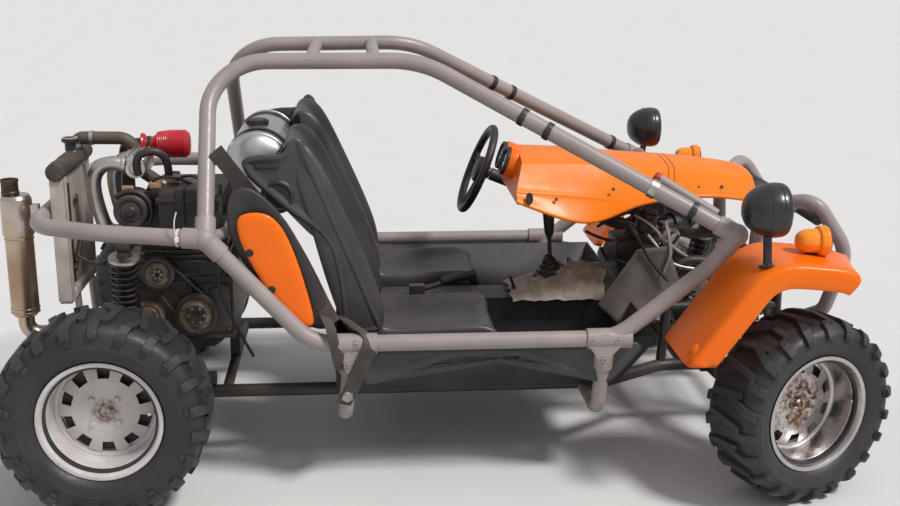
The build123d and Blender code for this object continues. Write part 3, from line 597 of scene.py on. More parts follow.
NODE_FINISHES: dict[Finish, tuple[str, ...]] = {
    FRAME_PAINT: ("cage_right", "cage_left", "roof_bars", "rear_frame", "front_guard"),
    CAST_TEE: ("side_loop_right", "side_loop_left", "dash_bar"),
    BLACK_STEEL: ("lower_frame", "nose_frame", "front_arms", "rear_arms", "steering_column",
                  "pulleys", "levers", "pedals"),
    GREY_SHELL: ("floor_tub",),
    CASTING: ("engine", "gearbox", "knuckle_right", "knuckle_left"),
    RUNNERS: ("tie_rod_right", "tie_rod_left", "steering_rack"),
    RADIATOR_EDGE: ("radiator",),
    HOSE: ("radiator_hose",),
    MUFFLER: ("exhaust",),
}


@contextmanager
def editing() -> Iterator[None]:
    """Work in edit mode on the whole of the active mesh.

    Returns:
        A context that goes back to object mode at its end.
    """
    bpy.ops.object.mode_set(mode="EDIT")
    bpy.ops.mesh.select_all(action="SELECT")
    yield
    bpy.ops.object.mode_set(mode="OBJECT")


def smooth_by(degrees: float) -> None:
    """Shade the active mesh smooth, but for edges sharper than an angle."""
    bpy.ops.object.shade_smooth_by_angle(angle=math.radians(degrees))


class Shop:
    """Ways to start, shape and finish a piece with Blender's own operators."""

    TIP = 0.05  # the radius in millimetres at which a turned profile closes

    @staticmethod
    def seal(gap: float) -> None:
        """Merge points closer than a gap in metres, and turn all faces outwards.

        Args:
            gap: how close they have to be
        """
        bpy.ops.mesh.select_all(action="SELECT")
        bpy.ops.mesh.remove_doubles(threshold=gap)
        bpy.ops.mesh.normals_make_consistent(inside=False)

    @staticmethod
    def clear() -> None:
        """Deselect everything."""
        if bpy.context.object and bpy.context.object.mode != "OBJECT":
            bpy.ops.object.mode_set(mode="OBJECT")
        bpy.ops.object.select_all(action="DESELECT")

    @staticmethod
    def settle(piece: Piece, matrix: Matrix) -> Piece:
        """Put a piece's place into its mesh and leave its object at the origin.

        Args:
            piece: the piece
            matrix: a further move, in metres

        Returns:
            The piece.
        """
        piece.data.transform(matrix @ piece.matrix_basis)
        piece.matrix_basis = Matrix.Identity(4)
        return piece

    @staticmethod
    def lathe(name: str, rows: Sequence[tuple[float, float]], matrix: Matrix,
              segments: int, crease: float) -> Piece:
        """Turn a profile about local Z by drawing a ring out step by step.

        Args:
            name: the piece's name
            rows: radius and height of each ring in millimetres
            matrix: the move from local Z to the place
            segments: points round each ring
            crease: edges sharper than this many degrees stay sharp

        Returns:
            The piece.
        """
        Shop.clear()
        radius, height = rows[0]
        bpy.ops.mesh.primitive_circle_add(
            vertices=segments, radius=max(radius, Shop.TIP) * MM, location=(0, 0, height * MM))
        piece = bpy.context.object
        piece.name = name
        with editing():
            now = max(radius, Shop.TIP)
            for radius, level in rows[1:]:
                wide = max(radius, Shop.TIP)
                bpy.ops.mesh.extrude_region_move(
                    TRANSFORM_OT_translate={"value": (0, 0, (level - height) * MM)})
                bpy.ops.transform.resize(
                    value=(wide / now, wide / now, 1), center_override=(0, 0, level * MM))
                now, height = wide, level
            Shop.seal(0.00012)
        smooth_by(crease)
        return Shop.settle(piece, matrix)

    @staticmethod
    def block(name: str, low: Point, high: Point, bevel: float = 3, matrix: Matrix = HOME) -> Piece:
        """Make a box with rounded edges between two corners in millimetres.

        Args:
            name: the piece's name
            low: its lowest corner
            high: its highest corner
            bevel: how round its edges are
            matrix: the move to its place

        Returns:
            The piece.
        """
        Shop.clear()
        middle = [(a + b) / 2 * MM for a, b in zip(low, high)]
        size = [max(abs(b - a), 0.2) * MM for a, b in zip(low, high)]
        bpy.ops.mesh.primitive_cube_add(size=1)
        piece = bpy.context.object
        piece.name = name
        with editing():
            bpy.ops.transform.resize(value=size)
            bpy.ops.mesh.bevel(offset=bevel * MM, segments=3, affect="EDGES")
            bpy.ops.transform.translate(value=middle)
        smooth_by(35)
        return Shop.settle(piece, matrix)

    @staticmethod
    def slab(name: str, outline: Sequence[Vector], normal: Vector, thick: float,
             insets: Sequence[tuple[float, float]], smooth: int) -> Piece:
        """Make a plate from an outline, with a crowned face built by insets.

        Args:
            name: the piece's name
            outline: its corners in metres, in order
            normal: the way that its face looks
            thick: the plate's thickness in millimetres
            insets: width and rise of each step of the face in millimetres
            smooth: levels of subdivision

        Returns:
            The piece.
        """
        Shop.clear()
        bpy.ops.mesh.primitive_circle_add(vertices=len(outline), radius=1)
        piece = bpy.context.object
        piece.name = name
        for vertex, place in zip(piece.data.vertices, outline):
            vertex.co = place
        with editing():
            bpy.ops.mesh.edge_face_add()
            bpy.ops.mesh.extrude_region_move(
                TRANSFORM_OT_translate={"value": normal.normalized() * thick * MM})
            for width, rise in insets:
                bpy.ops.mesh.inset(thickness=width * MM, use_even_offset=False)
                bpy.ops.transform.translate(value=normal.normalized() * rise * MM)
            bpy.ops.mesh.select_all(action="SELECT")
            bpy.ops.mesh.normals_make_consistent(inside=False)
        if smooth:
            Shop.modify(piece, "SUBSURF", levels=smooth, render_levels=smooth)
        smooth_by(50)
        return piece

    @staticmethod
    def skin(name: str, rows: Sequence[Sequence[Vector]], wall: float, levels: int,
             offset: float = -1, crease: float = 40) -> Piece:
        """Stretch a grid over rows of points, then give it a wall and round it.

        Args:
            name: the piece's name
            rows: the points of each cross section in metres
            wall: the wall's thickness in millimetres, or 0 for none
            levels: levels of subdivision
            offset: which way the wall grows
            crease: edges sharper than this many degrees stay sharp

        Returns:
            The piece.
        """
        Shop.clear()
        across, along = len(rows[0]), len(rows)
        bpy.ops.mesh.primitive_grid_add(x_subdivisions=across - 1, y_subdivisions=along - 1, size=2)
        piece = bpy.context.object
        piece.name = name
        for index, vertex in enumerate(piece.data.vertices):
            vertex.co = rows[index // across][index % across]
        with editing():
            Shop.seal(0.0001)
        if levels:
            Shop.modify(piece, "SUBSURF", levels=levels, render_levels=levels)
        if wall:
            Shop.modify(
                piece, "SOLIDIFY", thickness=wall * MM, offset=offset, use_quality_normals=True)
        smooth_by(crease)
        return piece

    @staticmethod
    def tube(name: str, points: Sequence[Vector], radius: float, sides: int,
             smooth: bool = True, cyclic: bool = False) -> Piece:
        """Draw a round tube along points and make it a mesh.

        Args:
            name: the piece's name
            points: its route in metres
            radius: its radius in millimetres
            sides: how round it is
            smooth: whether the route is a smooth curve
            cyclic: whether it is a ring

        Returns:
            The piece.
        """
        Shop.clear()
        curve = bpy.data.curves.new(name, "CURVE")
        curve.dimensions = "3D"
        curve.resolution_u = 4
        curve.bevel_depth = radius * MM
        curve.bevel_resolution = sides
        curve.use_fill_caps = not cyclic
        spline = curve.splines.new("NURBS" if smooth else "POLY")
        spline.points.add(len(points) - 1)
        for point, place in zip(spline.points, points):
            point.co = (*place, 1)
        spline.use_cyclic_u = cyclic
        if smooth:
            spline.order_u = 3
            spline.use_endpoint_u = not cyclic
        spline.use_smooth = True
        piece = bpy.data.objects.new(name, curve)
        bpy.context.scene.collection.objects.link(piece)
        piece.select_set(True)
        bpy.context.view_layer.objects.active = piece
        bpy.ops.object.convert(target="MESH")
        piece = bpy.context.object
        smooth_by(60)
        return piece

    @staticmethod
    def strap(name: str, points: Sequence[Vector], side: Vector, width: float) -> Piece:
        """Lay a flat strap of webbing along points, with its width along one direction.

        Args:
            name: the piece's name
            points: its route in metres
            side: the direction of its width
            width: its width in millimetres

        Returns:
            The piece.
        """
        half = side.normalized() * width / 2 * MM
        rows = [[point - half, point + half] for point in points]
        piece = Shop.skin(name, rows, 0, 0)
        Shop.modify(piece, "SUBSURF", levels=2, render_levels=2, boundary_smooth="PRESERVE_CORNERS")
        Shop.modify(piece, "SOLIDIFY", thickness=WEBBING_THICK * MM, offset=0)
        smooth_by(50)
        return piece

    @staticmethod
    def modify(piece: Piece, kind: str, **settings: object) -> None:
        """Add one modifier and apply it.

        Args:
            piece: the piece
            kind: the modifier's type
            settings: the modifier's settings by name
        """
        Shop.clear()
        piece.select_set(True)
        bpy.context.view_layer.objects.active = piece
        modifier = piece.modifiers.new(kind.lower(), kind)
        for name, value in settings.items():
            setattr(modifier, name, value)
        bpy.ops.object.modifier_apply(modifier=modifier.name)

    @staticmethod
    def pierce(piece: Piece, chosen: Callable[[Vector], bool]) -> None:
        """Delete the faces of the active piece whose middle is chosen.

        Args:
            piece: the piece
            chosen: says from a face's middle, in metres, whether it goes
        """
        bpy.ops.object.mode_set(mode="EDIT")
        bpy.ops.mesh.select_all(action="DESELECT")
        bpy.ops.object.mode_set(mode="OBJECT")
        for face in piece.data.polygons:
            corners = [piece.data.vertices[corner].co for corner in face.vertices]
            face.select = chosen(sum(corners, Vector()) / len(corners))
        bpy.ops.object.mode_set(mode="EDIT")
        bpy.ops.mesh.delete(type="FACE")
        bpy.ops.object.mode_set(mode="OBJECT")

    @staticmethod
    def copy(piece: Piece, name: str, matrix: Matrix) -> Piece:
        """Copy a piece with its own mesh, moved by a matrix.

        Args:
            piece: the piece
            name: the copy's name
            matrix: the move, in metres

        Returns:
            The copy.
        """
        twin = piece.copy()
        twin.data = piece.data.copy()
        twin.name = name
        bpy.context.scene.collection.objects.link(twin)
        twin.data.transform(matrix)
        if matrix.determinant() < 0:
            twin.data.flip_normals()
        return twin

    @staticmethod
    def join(name: str, pieces: Sequence[Piece]) -> Piece:
        """Make several pieces one object.

        Args:
            name: the object's name
            pieces: what it is made of

        Returns:
            The object.
        """
        Shop.clear()
        for piece in pieces:
            piece.select_set(True)
        bpy.context.view_layer.objects.active = pieces[0]
        if len(pieces) > 1:
            bpy.ops.object.join()
        pieces[0].name = name
        return pieces[0]

    @staticmethod
    def dress(piece: Piece, finish: Finish, *stands_for: str, body: str = "chassis") -> None:
        """Give a piece its finish, its body and the nodes it stands for.

        Args:
            piece: the piece
            finish: its finish
            stands_for: the nodes it stands for
            body: the body it rides on
        """
        piece.data.materials.clear()
        piece.data.materials.append(finish.material())
        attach(piece, body)
        if stands_for:
            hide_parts(*stands_for)
        log.info("%s: %d faces in %s", piece.name, len(piece.data.polygons), finish.name)

    @staticmethod
    def unite(name: str, pieces: Sequence[Piece], finish: Finish, *stands_for: str,
              body: str = "chassis") -> None:
        """Make several pieces one object and dress it."""
        Shop.dress(Shop.join(name, pieces), finish, *stands_for, body=body)


MIRROR = Matrix.Scale(-1, 4, (0, 1, 0))


def facing(place: Vector, direction: Vector, turn: float = 0) -> Matrix:
    """Give the move that takes local Z to a direction at a place.

    Args:
        place: where the local origin goes, in metres
        direction: where local Z points
        turn: a turn about it in radians

    Returns:
        The matrix.
    """
    quaternion = direction.normalized().to_track_quat("Z", "Y")
    return (
        Matrix.Translation(place) @ quaternion.to_matrix().to_4x4() @ Matrix.Rotation(turn, 4, "Z"))


def both(name: str, piece: Piece, finish: Finish, *stands_for: str) -> None:
    """Dress a right-hand piece and its mirrored twin on the left.

    Args:
        name: the pieces' shared name
        piece: the right-hand piece
        finish: their finish
        stands_for: the right and left nodes they stand for, if any
    """
    twin = Shop.copy(piece, name + "_left", MIRROR)
    piece.name = name + "_right"
    Shop.dress(piece, finish, *stands_for[:1])
    Shop.dress(twin, finish, *stands_for[1:])


def smoothed(points: Sequence[tuple], steps: int) -> list[tuple]:
    """Run a rounded line through points, with a few steps between each two.

    Args:
        points: the points to pass through
        steps: how many steps between two of them

    Returns:
        The finer line.
    """
    fine: list[tuple] = []
    for index in range(len(points) - 1):
        before = points[max(index - 1, 0)]
        first, second = points[index], points[index + 1]
        after = points[min(index + 2, len(points) - 1)]
        for step in range(steps):
            t = step / steps
            fine.append(
                tuple(0.5 * (2 * b + (c - a) * t + (2 * a - 5 * b + 4 * c - d) * t * t
                + (3 * b - a - 3 * c + d) * t ** 3) for a, b, c,
                d in zip(before, first, second, after)))
    fine.append(tuple(points[-1]))
    return fine


def slope_at(line: Sequence[tuple], index: int) -> Vector:
    """Give the way that a line of stations and heights runs at one of its points."""
    before, after = line[max(index - 1, 0)], line[min(index + 1, len(line) - 1)]
    return Vector((after[0] - before[0], 0, after[1] - before[1])).normalized()


def route(points: Sequence[tuple], steps: int = 1) -> list[Vector]:
    """Turn points in millimetres into places, rounded where there are several steps."""
    return [at(*point) for point in (smoothed(points, steps) if steps > 1 else points)]


def rim_place(station: float, side: float, height: float, turn: float, out: float) -> Matrix:
    """Give the move from a wheel's own frame to its place.

    A wheel's own frame has its axle along Z, with Z = 0 at the rim's outer plane and Z up
    to the outer side.

    Args:
        station: the axle's place along the car in millimetres
        side: the pivot's place across the car, negative on the right
        height: the axle's height
        turn: the steering turn in radians
        out: from the pivot out to the rim's outer plane

    Returns:
        The matrix.
    """
    sign = -1 if side < 0 else 1
    across = Matrix.Rotation(math.radians(90 * -sign), 4, "X")
    return (
        Matrix.Translation(at(station, side, height)) @ Matrix.Rotation(turn, 4, "Z")
        @ Matrix.Translation((0, sign * out * MM, 0)) @ across)


@dataclass
class Wheel:
    """One wheel: a knobbly tyre and the trim of its pressed rim.

    Args:
        corner: its name, such as rear_right
        place: the move from its own frame
        tip: the tyre's radius over the lugs in millimetres
        width: the tyre's width
        body: the body it turns with
        rusty: how far rust has spread from its hub
        coat: whether the rim is painted or bare
        pairs: how many lug pitches go round
        rim_width: from one rim flange to the other
        lug: how high the lugs stand
        vents: how many vents the disc has
    """

    corner: str
    place: Matrix
    tip: float
    width: float
    body: str
    rusty: float = 0.07
    coat: Coat = Coat.PAINT
    pairs: int = 11
    rim_width: float = 170
    lug: float = 13
    vents: int = 10

    def casing(self) -> list[tuple[float, float]]:
        """List the casing's radius and height out of the rim's plane, outer side first.

        Returns:
            The rows in millimetres.
        """
        bulge = (self.width - self.rim_width) / 2
        tread = self.tip - self.lug
        half = [
            (170.5, -8), (176, -1), (186, bulge - 9), (202, bulge - 2.5), (216, bulge - 1),
            (219, bulge + 0.6), (222, bulge - 1), (tread - 34, bulge - 0.5),
            (tread - 20, bulge - 4), (tread - 9, bulge - 14), (tread - 2.5, bulge - 32),
            (tread, bulge - 58)]
        half = [row for index, row in enumerate(half) if index < 2 or row[0] <= tread]
        inner = [(radius, -self.rim_width - level) for radius, level in reversed(half)]
        return half + [(tread + 0.6, -self.rim_width / 2)] + inner

    def on_casing(self, along: float, height: float, turn: float) -> Vector:
        """Find a point over the casing.

        Args:
            along: way across the tyre, as a share of the profile
            height: how high over the casing in millimetres
            turn: the angle about the axle

        Returns:
            The point in metres, in the wheel's frame.
        """
        rows = self.casing()
        step = min(max(along, 0), 1) * (len(rows) - 1)
        index = min(int(step), len(rows) - 2)
        part = step - index
        radius = rows[index][0] * (1 - part) + rows[index + 1][0] * part
        level = rows[index][1] * (1 - part) + rows[index + 1][1] * part
        slope_r = rows[index + 1][0] - rows[index][0]
        slope_z = rows[index + 1][1] - rows[index][1]
        length = math.hypot(slope_r, slope_z) or 1
        radius += height * -slope_z / length
        level += height * slope_r / length
        return polar(radius, turn, level)

    def wrapped(self, name: str, path: Sequence[tuple[float, float, float]], height: float,
                rise: float) -> Piece:
        """Shape one lug as a bar that follows the casing.

        Args:
            name: its name
            path: share across the tyre, millimetres round it and half width, point by point
            height: its height in millimetres
            rise: how far its flanks lean out at the foot

        Returns:
            The lug in the wheel's frame.
        """
        Shop.clear()
        bpy.ops.mesh.primitive_cube_add(size=1)
        lug = bpy.context.object
        lug.name = name
        with editing():
            bpy.ops.mesh.subdivide(number_cuts=1)
        Shop.modify(lug, "BEVEL", width=0.03, segments=1, limit_method="ANGLE")
        with editing():
            bpy.ops.mesh.subdivide(number_cuts=1)
        for vertex in lug.data.vertices:
            share = (vertex.co.x + 0.5) * (len(path) - 1)
            index = min(max(int(share), 0), len(path) - 2)
            part = share - index
            across, round_it, half = (
                path[index][k] * (1 - part) + path[index + 1][k] * part for k in range(3))
            level = vertex.co.z + 0.5
            lean = half + rise * (1 - level)
            arc = round_it + vertex.co.y * 2 * lean
            vertex.co = self.on_casing(across, -2 + (height + 2) * level, arc / self.tip)
        return lug

    def lugs(self) -> list[Piece]:
        """Shape one pitch of lugs on both shoulders and copy it round the tyre.

        Returns:
            One object for each pitch.
        """
        pitch = math.tau * self.tip / self.pairs
        hook = [
            (0.49, 0, 9.5), (0.455, 14, 12), (0.42, 28, 13), (0.38, 36, 13.5), (0.335, 38, 14.5),
            (0.297, 38.5, 15)]
        bar = self.wrapped("bar", hook, self.lug, 2)
        centre = self.wrapped(
            "centre", [(0.56, pitch * 0.44, 9), (0.48, pitch * 0.50, 11),
            (0.42, pitch * 0.56, 9.5)], self.lug - 1, 2)
        block = self.wrapped(
            "block", [(0.43, pitch * 0.68, 11), (0.385, pitch * 0.72, 12.5),
            (0.335, pitch * 0.73, 14), (0.30, pitch * 0.73, 14)], self.lug - 1, 2)
        pad = self.wrapped("pad", [(0.328, 38.4, 7), (0.305, 38.5, 7)], self.lug + 1.4, 0.6)
        foot = self.wrapped("foot", [(0.296, 38.5, 11), (0.272, 38.5, 9)], 4.5, 3)
        one = Shop.join("pitch", [bar, centre, block, pad, foot])
        flip = (
            Matrix.Translation((0, 0, -self.rim_width * MM)) @ Matrix.Scale(-1, 4, (0, 0, 1))
            @ Matrix.Rotation(math.tau / self.pairs / 2, 4, "Z"))
        other = Shop.copy(one, "other", flip)
        pair = Shop.join("pair", [one, other])
        return [pair] + [
            Shop.copy(pair, f"pair{index}", Matrix.Rotation(math.tau * index / self.pairs, 4, "Z"))
            for index in range(1, self.pairs)]

    def build(self) -> None:
        """Build the tyre and the rim's trim."""
        rows = self.casing()
        closed = rows + [(150, -self.rim_width + 14), (150, -14), rows[0]]
        casing = Shop.lathe(f"casing_{self.corner}", closed, Matrix.Identity(4), 96, 50)
        # the casing gets the darker rubber, painted shade between and beside the lugs
        casing.data.materials.append(SHADED_SIDEWALL.material())
        lugs = Shop.join("lugs", self.lugs())
        lugs.data.materials.append(RUBBER.material())
        Shop.clear()
        tyre = Shop.join(f"tyre_{self.corner}_rubber", [casing, lugs])
        Shop.settle(tyre, self.place)
        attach(tyre, self.body)
        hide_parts(f"tyre_{self.corner}")
        log.info("%s: %d faces", tyre.name, len(tyre.data.polygons))
        self.rim()

    def rim(self) -> None:
        """Build the rim as a pressed barrel with a vented disc, hub, bolts and valve."""
        barrel_rows = [
            (172, -2), (173, 1), (170, 2), (162, 0.5), (158, -6), (155, -22), (149, -30),
            (146, -60), (144, -96), (140, -110), (140, -146), (150, -156), (160, -166), (170, -172),
            (173, -170), (171, -166), (158, -156), (151, -146), (149, -120), (151, -34), (158, -26),
            (161, -8), (166, -3), (172, -2)]
        barrel = Shop.lathe("barrel", barrel_rows, Matrix.Identity(4), 80, 30)
        disc = self.disc()
        hub_rows = [
            (38, -100), (36, -90), (34, -85), (31, -84), (29, -88), (18, -89), (16, -82), (13, -80),
            (11, -76), (6, -75), (0, -75)]
        hub = Shop.lathe("hub", hub_rows, Matrix.Identity(4), 40, 30)
        bolts = []
        nut = Shop.lathe(
            "nut", [(10.5, -90), (10.5, -86), (9, -84), (9, -76), (6.5, -73.5), (0, -73)],
            Matrix.Identity(4), 6, 30)
        for index in range(4):
            turn = Matrix.Rotation(math.tau * (index + 0.5) / 4, 4, "Z")
            bolts.append(Shop.copy(nut, f"nut{index}", turn @ Matrix.Translation((0.050, 0, 0))))
        bpy.data.objects.remove(nut)
        valve = Shop.lathe(
            "valve", [(5.5, 0), (5.5, 12), (4, 14), (4, 26), (3, 28), (0, 28.5)],
            facing(Vector((0.1445, 0.014, -0.035)), Vector((-0.55, 0, 1))), 12, 30)
        rim = Shop.join(f"rim_{self.corner}_metal", [barrel, disc, hub, *bolts, valve])
        Shop.settle(rim, self.place)
        centre = self.place @ Vector((0, 0, -0.1))
        drum = Shop.lathe(
            "drum", [(126, -113), (110, -111), (90, -113), (70, -112), (54, -112), (54, -122),
            (126, -122), (126, -113)], self.place, 48, 30)
        drum.name = f"drum_{self.corner}"
        Shop.dress(drum, BLACK_STEEL, body=self.body)
        finish = Rusty(
            f"rim metal {self.corner}", "rim_silver", self.coat, (0.60, 0.57, 0.56),
            (0.50, 0.46, 0.44), (0.24, 0.38), 10, 700, 0.02, 0.06, 0.1,
            centre=tuple(round(value, 4) for value in centre), reach=self.rusty)
        Shop.dress(rim, finish, f"rim_{self.corner}", body=self.body)

    def disc(self) -> Piece:
        """Press the disc: a ring of faces with ten vents let through its cone.

        Returns:
            The disc in the wheel's frame.
        """
        steps = 80
        rings = [
            (144.5, -98), (140, -103), (134, -105), (129, -103), (128, -100.5), (95, -89.5),
            (92, -89), (76, -86.5), (60, -85), (44, -85), (37, -86.5), (35, -90)]
        rows = [
            [polar(radius, math.tau * step / steps, level) for step in range(steps + 1)] for radius,
            level in rings]
        disc = Shop.skin("disc", rows, 0, 0)

        def in_vent(middle: Vector) -> bool:
            """Say whether a face lies in one of the ten vents.

            Args:
                middle: the face's middle in metres

            Returns:
                Whether it does.
            """
            radius = math.hypot(middle.x, middle.y) / MM
            slot = (math.atan2(middle.y, middle.x) / math.tau * self.vents) % 1
            return 94 < radius < 128.7 and 0.27 < slot < 0.73

        Shop.pierce(disc, in_vent)
        Shop.modify(disc, "SOLIDIFY", thickness=0.003, offset=-1)
        Shop.modify(disc, "BEVEL", width=0.0009, segments=2, limit_method="ANGLE")
        smooth_by(35)
        return disc


@dataclass
class NoseShell:
    """The bonnet, lofted over its sections with a rolled crease and a hollow below.

    Args:
        sections: station from the front axle, crease half width and height, middle height,
            lower half width and lower height, in millimetres
        ledge_x: the station where the ledge along each side starts
        ledge_z: its height there
        ledge_fall: how much it falls for each millimetre forward
        ledge_rise: how far it stands out
        rake: how far the rear edge leans forward for each millimetre up
        rake_z: the height from which it leans
        rake_run: how far ahead of the rear edge the lean has faded
    """

    sections: tuple[tuple[float, ...], ...] = (
        (-744, 168, 878, 892, 256, 764), (-530, 152, 872, 886, 264, 697),
        (-350, 142, 856, 874, 264, 757), (-150, 130, 842, 860, 252, 775),
        (0, 114, 822, 840, 210, 752), (44, 100, 812, 828, 172, 738))
    ledge_x: float = 1238
    ledge_z: float = 795
    ledge_fall: float = 0.0984
    ledge_rise: float = 7
    rake: float = 0.3
    rake_z: float = 796
    rake_run: float = 214

    def section(self, row: Sequence[float], shrink: float = 0) -> list[Vector]:
        """Draw one cross section from the right edge over to the left.

        Args:
            row: one of the sections
            shrink: how far inside it the line runs, in millimetres

        Returns:
            The section's points in metres.
        """
        station, half, crease, middle, low_half, low = row
        x = WHEELBASE + station
        ledge = (self.ledge_z - self.ledge_fall * (x - self.ledge_x) - low) / (crease - low)
        rise = self.ledge_rise * min(1, max(0, (ledge - 0.1) / 0.15))
        ledge = min(max(ledge, 0.25), 0.6)
        wall = [
            (low_half + (half - low_half) * share + 1.5 + bump, low + (crease - low) * share)
            for share, bump in ((ledge - 0.05, 0), (ledge, rise), (ledge + 0.05, 0),
            (ledge * 0.6 + 0.4, 0.5), (ledge * 0.3 + 0.66, 0.5))]
        side = [
            (low_half, low), (low_half + 5, low + 6), (low_half - 4, low + 16), *wall,
            (half + 7, crease - 9), (half + 2, crease - 2.5), (half - 4, crease + 0.5),
            (half - 14, crease + 2), (half * 0.5, (crease + middle * 3) / 4 + 0.5)]
        right = [(-y + shrink, z - shrink) for y, z in side]
        left = [(y - shrink, z - shrink) for y, z in reversed(side)]
        near_dash = max(0, 1 - (station - self.sections[0][0]) / self.rake_run)
        return [
            at(x + near_dash * self.rake * max(0, z - self.rake_z), y, z) for y, z in right
            + [(0, middle - shrink)] + left]

    def build(self) -> None:
        """Build the shell with its closed end, the cover in front of it and its screws."""
        rows = [self.section(row) for row in smoothed(self.sections, 4)]
        last = self.sections[-1]
        tip = self.section(
            (last[0] + 7, last[1] - 7, last[2] - 5, last[3] - 6, last[4] - 8, last[5] + 1))
        shell = Shop.skin("nose_shell", rows + [tip], 3, 2, crease=38)
        Shop.dress(shell, HOOD_ORANGE, "nose")
        cap_rows = [tip, self.section((last[0] + 5, 36, 776, 782, 60, 762))]
        cap = Shop.skin("nose_tip", cap_rows, 2, 1)
        Shop.dress(cap, HOOD_ORANGE)
        cover_rows = [
            [at(x, y * (1 - 0.04 * index), z - (abs(y) / 300) ** 4 * 16)
            for y in range(-300, 301, 60)] for index, (x, z) in enumerate(smoothed(((1992, 728),
            (2046, 734), (2092, 742), (2118, 740), (2128, 722)), 2))]
        cover = Shop.skin("front_cover", cover_rows, 4, 1, offset=0, crease=50)
        Shop.dress(cover, BLACK_TRIM)
        screws = []
        for station, side, height in (
                (1250, 236, 790), (1330, 240, 775), (1512, 226, 802), (1702, 214, 800),
                (1790, 206, 800), (1868, 196, 800)):
            for sign in (-1, 1):
                place = at(station, sign * (side + 3), height)
                out = Vector((0, sign * 0.8, 0.6))
                screws.append(
                    Shop.lathe("screw", [(5.5, -3), (5.5, 0.8), (4.5, 1.8), (0, 2.4)],
                    facing(place, out), 14, 30))
        Shop.unite("nose_screws", screws, BLACK_TRIM)


@dataclass
class Fenders:
    """The pair of orange front mudguards.

    Args:
        arch: their line over the wheel, from the front axle
        outer: their outer edge from the middle
        inner: their inner edge
        foot: the height at which their rear end is cut level
    """

    arch: tuple[tuple[float, float], ...] = (
        (-388, 85), (-300, 206), (-212, 328), (-158, 402), (-112, 434), (-60, 447), (20, 442),
        (90, 433), (140, 420), (184, 401))
    outer: float = 800
    inner: float = 520
    foot: float = 418

    def build(self) -> None:
        """Build the right mudguard with a rolled lip, and mirror it."""
        rows = []
        line = smoothed(self.arch, 3)
        for index, (x, z) in enumerate(line):
            share = index / (len(line) - 1)
            slope = slope_at(line, index)
            up = Vector((-slope.z, 0, slope.x))
            skew = max(0, share - 0.72) / 0.28  # grows over the front end, which is cut askew
            points = []
            for y, drop in (
                    (-self.outer + 4, 62), (-self.outer + 1, 58), (-self.outer, 34),
                    (-self.outer + 1, 8), (-self.outer + 5, 1.5), (-self.outer + 13, -1.5),
                    (-self.outer + 42, -3), (-(self.outer + self.inner) / 2, -4),
                    (-self.inner - 42, -3), (-self.inner - 12, -1), (-self.inner - 3, 6),
                    (-self.inner - 1, 16)):
                lean = skew * skew * (y + self.inner) / (self.outer - self.inner) * 74
                fade = min(1, 0.75 + share * 3, (1 - share) * 9)
                base = at(WHEELBASE + x + 20 * skew + lean, y, FRONT_AXLE_Z + z)
                points.append(base - up * max(drop * fade, drop if drop < 0 else 0) * MM)
            rows.append(points)
        shell = Shop.skin("fender", rows, 4, 1, offset=0, crease=45)
        with editing():
            bpy.ops.mesh.bisect(
                plane_co=at(0, 0, self.foot), plane_no=(0, 0, 1), clear_inner=True, use_fill=True)
        both("fender_shell", shell, ORANGE, "fender_right", "fender_left")
        bulge_rows = [(0.01, 10), (12, 9), (20, 5), (24, -1), (24, -4)]
        bulge = Shop.lathe(
            "bulge", list(reversed(bulge_rows)), facing(at(WHEELBASE - 306, -self.outer + 34, 452),
            Vector((-0.8, -0.4, 0.55))), 24, 60)
        both("fender_boss", bulge, ORANGE)


